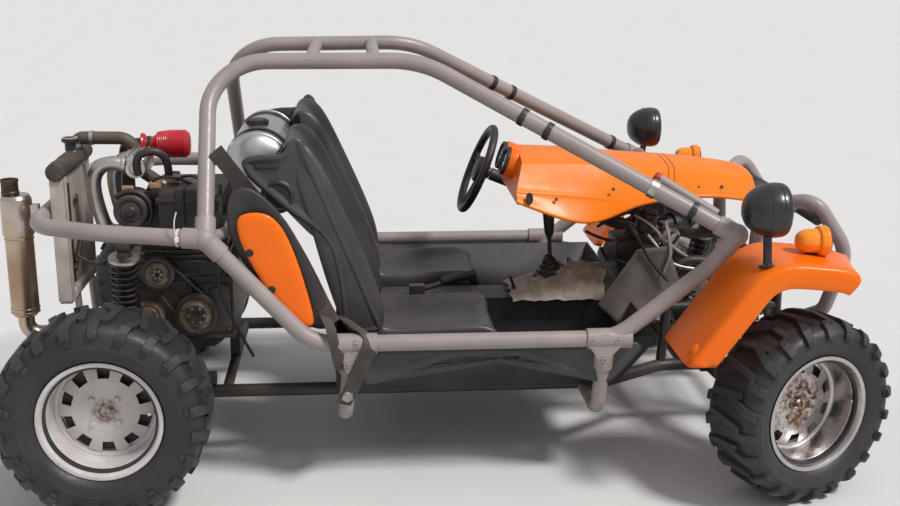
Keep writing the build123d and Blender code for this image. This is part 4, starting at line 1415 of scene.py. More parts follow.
@dataclass
class Lamps:
    """Headlamps and marker lamps as turned bowls with bezels, lenses and stems.

    Args:
        head: the right headlamp's middle in millimetres
        marker: the right marker lamp's middle
    """

    head: Point = (1835, -721, 843)
    marker: Point = (2006, -660, 738)

    def build(self) -> None:
        """Build each lamp on the right and mirror it."""
        forward = facing(at(*self.head), FORE)
        bowl = Shop.lathe(
            "bowl", [(0, -70), (14, -69), (30, -65.5), (45, -57), (57, -44), (67, -28), (73, -10),
            (76, 8), (76.5, 19), (76, 22), (74.5, 23), (74.5, 25), (75.5, 26.5), (75, 34),
            (72.5, 42), (69, 47), (66, 49), (62, 49), (60, 46), (0.05, 44)], forward, 56, 34)
        seam = Shop.lathe(
            "seam", [(72.4, -9.4), (74.4, -9), (74.8, -7), (73.4, -6.6)], forward, 56, 30)
        stem = Shop.lathe(
            "stem", [(0, -158), (24, -157), (24, -151), (14, -148), (12, -140), (12, -60),
            (24, -58), (26, -52), (20, -40)], facing(at(*self.head), Vector((0, 0.2, 1))), 24, 30)
        bolt = Shop.lathe(
            "bolt", [(9, 0), (9, 5), (5, 6.5), (0, 7)], facing(at(*self.head)
            + Vector((-0.04, -0.058, 0)), Vector((-0.5, -0.8, 0))), 6, 30)
        lamp = Shop.join("headlamp", [bowl, seam, stem, bolt])
        both("headlamp", lamp, BLACK_LAMP, "headlamps", "headlamps")
        glass = Shop.lathe(
            "glass", [(60, 44), (58, 47), (46, 51), (28, 54), (0, 55)], forward, 48, 60)
        both("headlamp_glass", glass, DIAL)
        ahead = facing(at(*self.marker), FORE)
        dome = Shop.lathe(
            "dome", [(0, -62), (10, -61.5), (20, -58.5), (27, -51), (32, -40), (34, -28),
            (34.5, -10), (35, 6), (40, 9), (41.5, 12)], ahead, 44, 40)
        both("marker_dome", dome, LENS_ORANGE, "marker_lamps", "marker_lamps")
        ring = Shop.lathe(
            "ring", [(30, -4), (36, -2), (42, 2), (44, 8), (44, 22), (41, 26)], ahead, 44, 30)
        both("marker_ring", ring, LENS_ORANGE)
        lens = Shop.lathe(
            "lens", [(40, 20), (40, 27), (38, 31), (30, 34), (15, 36), (0, 36.5)], ahead, 44, 50)
        both("marker_lens", lens, LENS_RED)
        post = Shop.lathe(
            "post", [(14, -60), (14, -38), (17, -36), (17, -30), (12, -26)],
            facing(at(1990, -660, 740), UP), 24, 30)
        both("marker_post", post, BLACK_TRIM)


@dataclass
class Seats:
    """The two bucket shells with raised bolsters, a harness slot and holes.

    Args:
        across: each seat's middle from the car's middle
        half: half its width
    """

    across: float = 295
    half: float = 176

    LINE = (
        (1108, 360), (1128, 392), (1100, 424), (1000, 408), (900, 396), (800, 390), (752, 402),
        (722, 436), (692, 520), (646, 660), (602, 800), (568, 900), (549, 958), (536, 984),
        (518, 992), (502, 976))
    BOLSTER = (0, 4, 18, 34, 44, 48, 58, 76, 92, 84, 66, 54, 40, 22, 6, 0)
    HOLES = ((535, 0, 925, 46, 13), (590, -105, 800, 22, 34), (590, 105, 800, 22, 34))

    def in_hole(self, middle: Vector) -> bool:
        """Say whether a face lies in the harness slot or in a hole of the back.

        Args:
            middle: the face's middle in metres

        Returns:
            Whether it does.
        """
        for x, y, z, wide, tall in self.HOLES:
            away = middle - at(x, -self.across + y, z)
            if abs(away.x) < 0.08 and (away.y / wide) ** 2 + (away.z / tall) ** 2 < MM * MM:
                return True
        return False

    def build(self) -> None:
        """Build the right shell, and mirror it."""
        rows = []
        fine = smoothed([(*point, depth) for point, depth in zip(self.LINE, self.BOLSTER)], 2)
        for index, (x, z, depth) in enumerate(fine):
            slope = slope_at(fine, index)
            front = Vector((-slope.z, 0, slope.x)) * -1
            front = front if front.z > 0 or front.x > 0 else -front
            width = self.half
            if z > 880:
                width = self.half - (z - 880) ** 1.5 * 0.016
            points = []
            for share, lift in (
                    (-1, -0.55), (-1.01, 0.35), (-0.98, 0.92), (-0.9, 1), (-0.8, 0.66),
                    (-0.68, 0.22), (-0.5, 0.03), (-0.25, 0), (0, 0), (0.25, 0), (0.5, 0.03),
                    (0.68, 0.22), (0.8, 0.66), (0.9, 1), (0.98, 0.92), (1.01, 0.35), (1, -0.55)):
                base = at(x, -self.across + share * width, z)
                points.append(base + front * lift * depth * MM)
            rows.append(points)
        shell = Shop.skin("seat", rows, 0, 1, crease=60)
        Shop.pierce(shell, self.in_hole)
        Shop.modify(shell, "SOLIDIFY", thickness=0.004, offset=0, use_quality_normals=True)
        Shop.modify(shell, "SUBSURF", levels=1, render_levels=1)
        smooth_by(60)
        both("seat_shell", shell, SEAT_SHELL, "seat_right", "seat_left")


@dataclass
class Belts:
    """Harness straps over each seat back, and the lap strap that hangs over the sill.

    Args:
        width: the webbing's width in millimetres
    """

    width: float = 46

    def build(self) -> None:
        """Build the straps on the right and mirror those of the seats."""
        straps = []
        for y in (-345, -245):
            line = [
                (700, y, 452), (738, y, 470), (700, y, 560), (640, y, 724), (588, y, 866),
                (556, y, 950), (530, y, 978), (500, y, 962), (452, y, 912), (396, y, 880),
                (352, y, 830)]
            straps.append(Shop.strap("strap", route(line, 3), LEFT, self.width))
        lap = [
            (760, -210, 470), (780, -260, 462), (790, -330, 458), (780, -380, 462),
            (760, -420, 470)]
        straps.append(Shop.strap("strap", route(lap, 3), Vector((1, 0, 0.1)), self.width))
        joined = Shop.join("belt", straps)
        both("belt", joined, WEBBING, "belts", "belts")
        hang = [
            (620, -430, 470), (650, -520, 500), (700, -585, 486), (742, -617, 462),
            (742, -634, 440), (722, -634, 390), (690, -634, 320), (664, -633, 268)]
        tail = Shop.strap("belt_tail", route(hang, 3), Vector((0.84, 0.30, -0.34)), self.width)
        second = [
            (600, -470, 500), (612, -575, 520), (630, -624, 500), (640, -634, 460),
            (650, -634, 400), (658, -630, 372)]
        other = Shop.strap("belt_tail_2", route(second, 3), Vector((0.95, 0.20, -0.16)), 30)
        run = [
            (316, -480, 981), (401, -484, 866), (491, -500, 762), (560, -530, 645),
            (614, -572, 540), (640, -598, 500)]
        shoulder = Shop.strap("shoulder", route(run, 3), Vector((0.78, 0, 0.62)), self.width)
        Shop.unite("belt_tail", [tail, other, shoulder], WEBBING)
        plate = Shop.lathe(
            "belt_plate", [(0, -3), (17, -3), (18, 0), (17, 3), (12, 3.4), (11, 8), (0, 8.6)],
            facing(at(676, -636, 292), OUT), 6, 30)
        Shop.dress(plate, STEEL)


@dataclass
class Tank:
    """The fuel drum across the back, with a domed end, bands and cap.

    Args:
        radius: its radius in millimetres
        length: how long it is
        middle: its middle
        cap: where its filler cap sits
        bands: where its bands lie across the car
    """

    radius: float = 98
    length: float = 560
    middle: Point = (412, 0, 893)
    cap: Point = (402, -60, 985)
    bands: tuple[float, float] = (-170, 170)

    def build(self) -> None:
        """Build the drum, its bands and its filler cap."""
        half, wall = self.length / 2, self.radius - 1.5
        side = facing(at(*self.middle), OUT)
        end = [
            (0, half - 2), (30, half - 3), (58, half - 8), (78, half - 15), (90, half - 24),
            (95.5, half - 33), (wall, half - 38), (self.radius, half - 39),
            (self.radius, half - 46), (wall, half - 47)]
        seam = [(wall, 60), (wall + 1.1, 58), (wall + 1.1, 44), (wall, 42)]
        near = end + seam
        rows = near + [(r, -h) for r, h in reversed(near)]
        drum = Shop.lathe("fuel_tank_drum", rows, side, 96, 28)
        cap = Shop.lathe(
            "cap", [(24, -12), (24, 2), (34, 3), (34.5, 6), (34, 17), (30, 20), (12, 21), (0, 21)],
            facing(at(*self.cap), UP), 40, 30)
        grips = [
            Shop.block("grip", (-3, 33, 4), (3, 36, 16), 1,
            facing(at(*self.cap), UP, math.tau * k / 12)) for k in range(12)]
        Shop.dress(drum, TANK, "fuel_tank")
        Shop.unite("fuel_cap", [cap, *grips], BLACK_TRIM)
        bands = []
        for y in self.bands:
            place = facing(at(self.middle[0], y, self.middle[2]), OUT)
            bands.append(
                Shop.lathe("band", [(99, -14), (101, -13), (101, 13), (99, 14)], place, 72, 30))
        Shop.unite("tank_bands", bands, BLACK_STEEL)


@dataclass
class Dampers:
    """Coil-over dampers: a helical spring round a body, rod and end bushes."""

    def one(self, name: str, top: Vector, foot: Vector, coil: float, wire: float,
            turns: float) -> list[Piece]:
        """Build one damper between its two ends.

        Args:
            name: the pair's name
            top: its upper end in metres
            foot: its lower end
            coil: the spring's radius in millimetres
            wire: the wire's thickness
            turns: how many turns the spring has

        Returns:
            Its spring, its dark parts and its bright parts.
        """
        axis = foot - top
        length = axis.length / MM
        place = facing(top, axis)
        start, end = 46, length - 66
        steps = int(turns * 12)
        points = []
        for step in range(steps + 1):
            share = step / steps
            eased = min(max((share - 0.04) / 0.92, 0), 1)
            turn = math.tau * turns * share
            points.append(place @ polar(coil, turn, start + (end - start) * eased))
        spring = Shop.tube(f"{name}_spring", points, wire / 2, 5)
        cup = Shop.lathe(
            "cup", [(12, 30), (coil + 6, 34), (coil + 8, 38), (coil + 8, 42), (coil - 8, 42),
            (20, 44)], place, 32, 30)
        dish = Shop.lathe(
            "dish", [(24, end + 2), (coil + 6, end + 4), (coil + 8, end + 8), (coil + 6, end + 13),
            (27, end + 15)], place, 32, 30)
        body = Shop.lathe(
            "body", [(10, 10), (18, 16), (22, 30), (23, 48), (23, length * 0.55),
            (20, length * 0.55 + 4), (9, length * 0.55 + 6), (9, end + 4), (16, end + 8),
            (22, end + 20), (22, length - 22), (12, length - 12)], place, 28, 30)
        eyes = []
        for spot in (top, foot):
            eyes.append(
                Shop.lathe("eye", [(9, -21), (14, -20), (19, -18), (20, 0), (19, 18), (14, 20),
                (9, 21)], facing(spot, FORE), 24, 30))
        return [spring, Shop.join("dark", [body, *eyes]), Shop.join("bright", [cup, dish])]

    def build(self) -> None:
        """Build the front and rear pairs."""
        for name, top, foot, coil in (
                ("front", at(1950, -228, 575), at(1950, -455, 166), 35),
                ("rear", at(50, -500, 712), at(30, -430, 345), 38)):
            spring, dark, bright = self.one(name, top, foot, coil, 9.5, 15)
            node = f"{name}_dampers"
            both(f"{name}_spring", spring, DARK_STEEL, node, node)
            both(f"{name}_damper", dark, BLACK_STEEL)
            both(f"{name}_seats", bright, STEEL)


@dataclass
class SidePanels:
    """The orange scoops behind the doors and the dark panels inside them.

    Args:
        scoop: the scoop's outline seen from the side, in millimetres
    """

    scoop: tuple[tuple[float, float], ...] = (
        (384, 822), (376, 790), (386, 735), (432, 636), (515, 507), (560, 485), (584, 492),
        (588, 515), (550, 668), (512, 772), (478, 815), (440, 828))

    def build(self) -> None:
        """Build the right side and mirror it."""
        outline = [at(x, -577.7, z) for x, z in self.scoop]
        scoop = Shop.slab("scoop", outline, OUT, 14, ((5, 4), (12, 3), (20, 0.5)), 2)
        both("side_scoop", scoop, ORANGE, "side_scoops", "side_scoops")
        bolts = [
            Shop.lathe("scoop_bolt", [(11, -2), (11, 1), (8, 2.5), (7.6, 0.5), (0, 0.5)],
            facing(at(x, -599, z), OUT), 20, 30) for x, z in ((412, 712), (470, 604))]
        both("scoop_bolts", Shop.join("scoop_bolts", bolts), BLACK_TRIM)
        inner = [
            at(x, -548, z) for x, z in ((342, 765), (352, 868), (380, 892), (428, 896), (520, 800),
            (585, 650), (636, 520), (640, 480), (618, 472), (566, 474), (480, 560), (402, 645))]
        panel = Shop.slab("panel", inner, OUT, 22, ((6, 3), (22, 1), (22, -3)), 2)
        both("side_panel", panel, GREY_SHELL, "side_panels", "side_panels")


@dataclass
class SeatWings:
    """The deep outer side of each seat shell, with its slot and its round hole.

    Args:
        outline: its outline seen from the side, in millimetres
    """

    outline: tuple[tuple[float, float], ...] = (
        (386, 942), (400, 958), (450, 966), (498, 968), (516, 990), (536, 1012), (560, 1004),
        (578, 960), (600, 905), (650, 775), (706, 640), (760, 500), (780, 438), (735, 425),
        (672, 440), (655, 560), (632, 684), (585, 745), (520, 792), (440, 862), (400, 905))

    def build(self) -> None:
        """Build the right wing, its recess and its rim, and mirror it."""
        corners = smoothed([*self.outline, self.outline[0]], 3)[:-1]
        outline = [at(x, -462, z) for x, z in corners]
        wing = Shop.slab("wing", outline, OUT, 9, ((5, 4), (9, 1.5), (9, -7), (16, -3)), 1)
        cup = Shop.lathe(
            "cup", [(50, -6), (45, 0), (39, 1.5), (36, 0.5), (34, -1.5), (0.05, -2.5)],
            facing(at(486, -471, 842), OUT), 40, 40)
        slot = Shop.block("slot", (424, -474, 924), (492, -466, 936), 3)
        both("seat_wing", wing, SEAT_SHELL)
        both("seat_cup", cup, BLACK_TRIM)
        both("seat_slot", slot, BLACK_TRIM)


@dataclass
class EngineBay:
    """Everything seen around the engine behind the seats."""

    def build(self) -> None:
        """Build the radiator, intake, housing, drive and wiring."""
        self.radiator()
        self.intake()
        self.block()
        self.drive()
        self.wiring()

    def radiator(self) -> None:
        """Add the finned core, end plates, sleeve, cap, rubber strips and hose clamps."""
        core = [Shop.block("core", (x - 2, -346, 528), (x + 2, -14, 868), 1) for x in (-146, -168)]
        Shop.unite("radiator_core", core, RADIATOR)
        edge = Shop.block("edge", (-177, -366, 508), (-137, -358, 884), 1.5)
        lips = [
            Shop.block("lip", (-136, -362, 508), (-133, -338, 884), 1),
            Shop.block("lip", (-140, -352, 508), (-134, -8, 536), 1.5)]
        Shop.unite("radiator_plate", [edge, *lips], RADIATOR_EDGE)
        sleeve = Shop.lathe(
            "sleeve", [(0, -197), (22, -196), (27, -193), (29, -150), (27, -148), (28, -60),
            (29, -58), (28, 20), (29, 60), (27, 62), (28, 150), (29, 190), (24, 195), (0, 196)],
            facing(at(-157, -180, 900), LEFT), 36, 30)
        Shop.dress(sleeve, ROUGH_SLEEVE)
        cap = Shop.lathe(
            "cap", [(16, -30), (16, -6), (24, -4), (25, 0), (25, 7), (20, 10), (8, 11), (0, 11)],
            facing(at(-157, -160, 958), UP), 10, 30)
        Shop.dress(cap, BLACK_TRIM)
        strips = [Shop.block("strip", (-136, -330, 560), (-131, -318, 860), 1)]
        brace = Shop.tube("brace", route(((-128, -340, 600), (-128, -180, 700))), 7, 4, False)
        spot = Shop.lathe(
            "spot", [(0, 2), (14, 2), (15, 0), (15, -2)], facing(at(-134, -230, 792), FORE), 20, 30)
        Shop.unite("radiator_strips", [*strips, brace, spot], BLACK_TRIM)
        clamps = []
        for place, direction in (
                (at(-152, -97, 934), UP), (at(-104, -101, 956), FORE),
                (at(98, -84, 803), Vector((0.77, 0.17, -0.6)))):
            clamps.append(
                Shop.lathe("clamp", [(20, -6), (22.4, -5.6), (22.4, 5.6), (20, 6)],
                facing(place, direction), 32, 30))
        Shop.unite("hose_clamps", clamps, STEEL)

    def intake(self) -> None:
        """Add the red cone, its black elbow, the runners, throttle and looping tube."""
        cone = [(30, -1), (35, 0), (36, 4), (34, 9), (26, 15), (24, 22), (24, 34), (30, 45)]
        pleats = []
        for step in range(14):
            height = 50 + step * 6.4
            wide = 40 + 5 * math.sin(min(step / 9, 1) * math.pi * 0.6)
            pleats += [(wide - 2, height), (wide, height + 2.4), (wide, height + 4)]
        cone += pleats + [(40, 142), (36, 148), (26, 151), (10, 152), (0, 152)]
        filter_cone = Shop.lathe("filter", cone, facing(at(36, -38, 924), FORE), 48, 30)
        Shop.dress(filter_cone, RED_FILTER, "air_filter")
        band = Shop.lathe(
            "band", [(24.5, 18), (26, 19), (26, 29), (24.5, 30)], facing(at(36, -38, 924), FORE),
            40, 30)
        elbow = Shop.tube(
            "elbow", route(((52, -38, 924), (0, -38, 924), (-20, -30, 905), (-20, 0, 830),
            (-20, 2, 700), (0, 2, 650), (75, 2, 640))), 21, 8)
        Shop.dress(elbow, BLACK_TRIM)
        tubes = []
        for y in (-246, -150):
            step = 0.44 * (y + 246)
            tubes.append(
                Shop.tube("runner", [at(x + step, y, z) for x, z in ((62, 690), (10, 690),
                (-44, 694), (-62, 740), (-78, 820), (-74, 868), (-46, 900), (-4, 904), (20, 896))],
                22, 10))
            for x, z in ((50, 690), (18, 898)):
                tubes.append(
                    Shop.lathe("flange",
                    [(18, -6), (29, -5.5), (30, -4), (30, 4), (29, 5.5), (18, 6)],
                    facing(at(x, y, z), FORE), 28, 30))
        plenum = Shop.block("plenum", (24, -278, 866), (86, -118, 928), 14)
        ribs = [
            Shop.block("rib", (30 + k * 14, -270, 924), (35 + k * 14, -126, 934), 1.5)
            for k in range(4)]
        throttle = Shop.lathe(
            "throttle", [(20, -10), (27, -8), (27, 4), (23, 6), (23, 26), (28, 28), (28, 36),
            (18, 38), (16, 30), (0, 28)], facing(at(56, -278, 894), Vector((0.15, -1, 0.1))), 32,
            30)
        Shop.unite("intake", [*tubes, plenum, *ribs, throttle], RUNNERS, "intake_runners")
        loop = Shop.tube(
            "loop", route(((70, -312, 880), (62, -322, 924), (92, -322, 952), (136, -312, 948),
            (158, -300, 912), (154, -290, 860))), 12, 7)
        Shop.unite("intake_loop", [loop, band], BLACK_TRIM)

    def block(self) -> None:
        """Add the cylinder's fins, covers, housing and box."""
        fins = [
            Shop.block("fin", (62, -304, 606 + k * 17), (308, -262, 612 + k * 17), 2)
            for k in range(6)]
        cover = Shop.block("cover", (76, -298, 792), (294, -150, 822), 10)
        covers = [
            cover, Shop.block("case", (46, -306, 368), (210, -296, 548), 8),
            Shop.block("case", (222, -306, 380), (324, -296, 540), 8)]
        bolts = []
        for x, z in (
                (58, 382), (58, 534), (130, 536), (196, 534), (196, 382), (130, 380), (234, 392),
                (312, 392), (234, 528), (312, 528)):
            bolts.append(
                Shop.lathe("bolt", [(7, 0), (7, 4), (5, 5.5), (0, 6)], facing(at(x, -306, z), OUT),
                6, 30))
        Shop.unite("engine_cover", [*fins, *covers, *bolts], CASTING)
        housing = Shop.lathe(
            "housing", [(52, -60), (52, -20), (48, -16), (46, 10), (48, 30), (50, 34), (50, 52),
            (46, 57), (40, 58), (38, 52), (30, 50), (28, 54), (16, 56), (12, 60), (0, 60)],
            facing(at(50, -314, 780), OUT), 44, 30)
        Shop.dress(housing, CASTING)
        shroud = Shop.tube(
            "shroud", [at(50 + 58 * math.cos(a / 10), -352, 780 + 58 * math.sin(a / 10))
            for a in range(-6, 26, 2)], 8, 5)
        box = Shop.block("box", (134, -408, 708), (266, -288, 852), 16)
        lid = Shop.block("lid", (130, -412, 812), (270, -286, 828), 4)
        strap = Shop.block("strap", (190, -416, 704), (214, -284, 856), 3)
        Shop.unite("battery_cover", [box, lid], BLACK_TRIM, "battery_box")
        Shop.unite("box_strap", [shroud, strap], BLACK_TRIM)
        tan = [
            Shop.block("tan", (98, -322, 838), (136, -290, 858), 4),
            Shop.block("tan", (150, -316, 852), (186, -288, 872), 4),
            Shop.block("tan", (20, -330, 830), (54, -306, 848), 4)]
        Shop.unite("connectors", tan, TAN)
        pale = Shop.lathe(
            "casting", [(46, -12), (50, -8), (50, 4), (40, 9), (32, 6), (28, 12), (12, 14),
            (0, 14)], facing(at(74, -318, 442), OUT), 36, 30)
        Shop.dress(pale, PALE_CASTING)

    def drive(self) -> None:
        """Add turned faces, spokes and bolts over the belt pulleys."""
        rings, faces, bolts = [], [], []
        for x, z, radius, hub in ((222, 455, 60, 34), (114, 585, 46, 22)):
            place = facing(at(x, -348, z), OUT)
            rings.append(
                Shop.lathe("ring", [(radius + 1, -14), (radius + 3, -12), (radius + 3, -8),
                (radius - 3, -4), (radius - 3, 1), (radius + 3, 5), (radius + 3, 9),
                (radius - 6, 10), (radius - 12, 4)], place, 44, 30))
            rings.append(
                Shop.lathe("hub", [(hub - 3, 5), (hub - 5, 12), (12, 12), (10, 9), (0, 9)], place,
                32, 30))
            faces.append(
                Shop.lathe("face", [(radius - 11, 4.4), (hub + 6, 3), (hub - 4, 7)], place, 44, 30))
            for k in range(6):
                turn = math.tau * k / 6
                spot = at(x + (hub - 10) * math.cos(turn), -359, z + (hub - 10) * math.sin(turn))
                bolts.append(
                    Shop.lathe("bolt", [(5, -1), (5, 4), (0, 5)], facing(spot, OUT), 6, 30))
        Shop.unite("pulley_rings", rings, CASTING)
        Shop.unite("pulley_faces", faces, PALE_CASTING)
        Shop.unite("pulley_bolts", bolts, STEEL)

    def wiring(self) -> None:
        """Add looms, a thin rod and pipes over the engine and behind the dash."""
        runs = (
            ((80, -300, 700), (20, -330, 660), (60, -340, 600), (150, -330, 560), (240, -320, 580)),
            ((300, -290, 720), (330, -320, 650), (310, -330, 560), (260, -320, 520)),
            ((-120, -330, 640), (-60, -340, 600), (0, -350, 660), (50, -350, 720)),
            ((150, -280, 840), (200, -290, 880), (260, -300, 860), (300, -300, 780)),
            ((90, -290, 830), (110, -320, 870), (170, -330, 880), (230, -310, 850)),
            ((320, -420, 690), (290, -430, 600), (330, -440, 480), (400, -470, 360)))
        tubes = [Shop.tube("wire", route(run), 4.5, 4) for run in runs]
        front = (
            ((1500, -60, 640), (1560, -90, 690), (1640, -110, 700), (1700, -140, 660)),
            ((1480, 40, 600), (1560, 10, 560), (1660, -40, 600), (1740, -120, 560)),
            ((1520, -120, 560), (1600, -160, 520), (1690, -190, 560), (1740, -190, 640)),
            ((1450, 120, 640), (1540, 80, 660), (1640, 60, 620), (1760, 40, 640)),
            ((1560, -200, 700), (1600, -230, 640), (1640, -220, 560), (1700, -230, 500)))
        tubes += [Shop.tube("wire", route(run), 5, 4) for run in front]
        Shop.unite("looms", tubes, BLACK_TRIM)
        units = [
            Shop.block("unit", (1560, -90, 520), (1660, 60, 600), 10),
            Shop.block("unit", (1640, 60, 640), (1760, 170, 720), 10), Shop.lathe("can", [(0, 0),
            (30, 1), (34, 5), (34, 60), (28, 66), (28, 74), (0, 76)],
            facing(at(1640, -130, 640), Vector((0.2, 0, 1))), 28, 30)]
        Shop.unite("front_units", units, BLACK_TRIM)
        silver = (
            ((1640, -180, 640), (1680, -200, 590), (1720, -210, 540), (1790, -200, 530)),
            ((1690, -200, 690), (1710, -220, 610), (1700, -230, 560), (1680, -210, 500)),
            ((1600, -150, 700), (1650, -190, 680), (1690, -200, 620), (1780, -190, 560)))
        Shop.unite("pale_hoses", [Shop.tube("wire", route(run), 6, 4) for run in silver], STEEL)
        pan = Shop.slab(
            "pan", route(((1480, -210, 420), (1600, -210, 600), (1700, -212, 610),
            (1740, -212, 500), (1690, -210, 380), (1560, -210, 340))), OUT, 3, ((8, 3), (10, -3)),
            0)
        Shop.dress(pan, GREY_DUST)
        can = Shop.lathe(
            "horn", [(0, 0), (36, 2), (40, 8), (34, 16), (20, 20), (18, 40), (0, 42)],
            facing(at(1740, -60, 600), Vector((0.3, -1, 0.1))), 32, 30)
        Shop.dress(can, STEEL)


@dataclass
class Cockpit:
    """Steering wheel, gauges, levers and the cream tunnel cover.

    Args:
        hub: the steering wheel's middle in millimetres
        tilt: how far up its face looks, in degrees
        radius: its radius to the middle of the grip
        gauges: where each gauge stands across the car
        cover: how many steps the tunnel cover has along the car and across it
        cover_step: the length of one of them
    """

    hub: Point = (1137, 300, 768)
    tilt: float = 22
    radius: float = 151
    gauges: tuple[float, ...] = (-45, 55)
    cover: tuple[int, int] = (26, 20)
    cover_step: float = 12

    def build(self) -> None:
        """Build the cockpit's small parts."""
        self.steering_wheel()
        self.instruments()
        self.levers()
        self.tunnel_cover()

    def steering_wheel(self) -> None:
        """Add the round rim, three double spokes and the boss."""
        tilt = math.radians(self.tilt)
        axis = Vector((-math.cos(tilt), 0, math.sin(tilt)))
        place = facing(at(*self.hub), axis)
        ring = [place @ polar(self.radius, math.tau * k / 40, 0) for k in range(40)]
        parts = [Shop.tube("rim", ring, 14, 7, True, True)]
        far, near = self.radius - 5, 24
        for angle in (0.2, math.pi - 0.2, -math.pi / 2):
            end, start = polar(far, angle, 0), polar(near, angle, -16)
            for off in (-8, 8):
                slide = Vector((-math.sin(angle), math.cos(angle), 0)) * off * MM
                parts.append(
                    Shop.tube("spoke", [place @ (start + slide), place @ (end + slide)], 6.5, 5,
                    False))
        parts.append(
            Shop.lathe("boss", [(22, -44), (22, -20), (44, -14), (48, -6), (44, 4), (34, 9),
            (12, 11), (0, 11)], place, 40, 30))
        Shop.unite("steering_wheel_rim", parts, BLACK_TRIM, "steering_wheel", body="steering_wheel")

    def instruments(self) -> None:
        """Close the nose with a dash plate, and add two gauges and a hole to it."""
        shell = NoseShell()
        plate = Shop.slab(
            "dash", shell.section(shell.sections[0], 3.5), Vector((-1, 0, 0)), -6, ((6, -1),), 0)
        Shop.dress(plate, ORANGE)
        bezels, dials, pods, needles = [], [], [], []
        for y in self.gauges:
            spot = facing(at(1206, y, 856), Vector((-1, 0, 0.35)))
            pods.append(
                Shop.lathe("pod", [(30, -86), (42, -80), (49, -60), (51, -20), (51, 6), (48, 10)],
                spot, 44, 40))
            bezels.append(
                Shop.lathe("bezel", [(40, -20), (46, -18), (47, 0), (47, 18), (45, 22), (39, 23),
                (37, 18)], spot, 44, 30))
            dials.append(
                Shop.lathe("dial", [(39, 14), (30, 17), (12, 18.5), (0, 19)], spot, 44, 60))
            for turn in range(-4, 5):
                needles.append(
                    Shop.block("tick", (-0.8, 26, 16), (0.8, 33, 18.6), 0.3, spot
                    @ Matrix.Rotation(turn * 0.5, 4, "Z")))
            needles.append(
                Shop.block("needle", (-1.5, -6, 18), (1.5, 25, 20.5), 0.5, spot
                @ Matrix.Rotation(0.9, 4, "Z")))
        Shop.unite("gauge_bezels", [*bezels, *needles], BLACK_TRIM, "instruments")
        Shop.unite("gauge_dials", dials, PALE_DIAL)
        Shop.unite("gauge_pods", pods, ORANGE)
        hole = Shop.lathe(
            "dash_hole", [(19, -3), (17, 1.5), (13, 2.2), (12, 0), (0, -0.5)],
            facing(at(1243, -262, 782), Vector((-0.05, -1, 0.3)))
            @ Matrix.Scale(0.62, 4, (1, 0, 0)), 28, 40)
        Shop.dress(hole, BLACK_TRIM)

    def levers(self) -> None:
        """Add the steering shaft, the lever's grip and boot, and the handbrake."""
        shaft = Shop.tube("shaft", route(((1590, -70, 627), (1845, -80, 508))), 9, 6, False)
        Shop.dress(shaft, BLACK_STEEL)
        lever = Shop.lathe(
            "grip", [(9, 0), (15, 12), (17, 30), (19, 70), (21, 100), (19, 120), (12, 130),
            (0, 132)], facing(at(1351, 0, 592), Vector((-0.06, 0, 1))), 28, 30)
        boot = Shop.lathe(
            "boot", [(62, 0), (60, 6), (50, 10), (46, 18), (36, 22), (33, 32), (24, 36), (22, 48),
            (14, 54), (10, 60)], facing(at(1360, 0, 470), Vector((-0.2, 0, 1))), 28, 40)
        brake = Shop.lathe(
            "brake", [(9, 0), (13, 4), (15, 20), (15, 100), (17, 112), (14, 120), (0, 122)],
            facing(at(985, -40, 454), Vector((1, 0, 0.24))), 24, 30)
        small = Shop.tube(
            "small", route(((1232, -60, 410), (1226, -60, 450), (1210, -70, 478))), 5, 5)
        Shop.unite("lever_grips", [lever, boot, brake, small], BLACK_TRIM)

    def tunnel_cover(self) -> None:
        """Lay the crumpled sheet over the tunnel, ragged at both ends."""
        rows = []
        steps, sides = self.cover
        for step in range(steps + 1):
            x = 1212 + step * self.cover_step
            share = step / steps
            row = []
            for across in range(sides + 1):
                y = -130 + across * self.cover_step
                crumple = (
                    math.sin(x * 0.061 + y * 0.043) + math.sin(x * 0.113 - y * 0.087) + 0.7
                    * math.sin(x * 0.19 + y * 0.151) + 0.5 * math.sin(x * 0.31 - y * 0.27)) * 5.5
                ridge = max(0, 1 - (abs(y + 10) / 118) ** 3)
                rise = (14 + 74 * math.sin(min(share * 1.15, 1) * math.pi / 2)) * ridge
                ragged = 14 * math.sin(across * 1.7) * math.sin(across * 0.6 + step * 0.2)
                pull = ragged if step in (0, steps) else 0
                row.append(at(x + pull, y, 410 + rise + crumple * (0.35 + 0.65 * ridge)))
            rows.append(row)
        cover = Shop.skin("tunnel_cover", rows, 2, 2, offset=0, crease=60)
        Shop.dress(cover, CREAM)


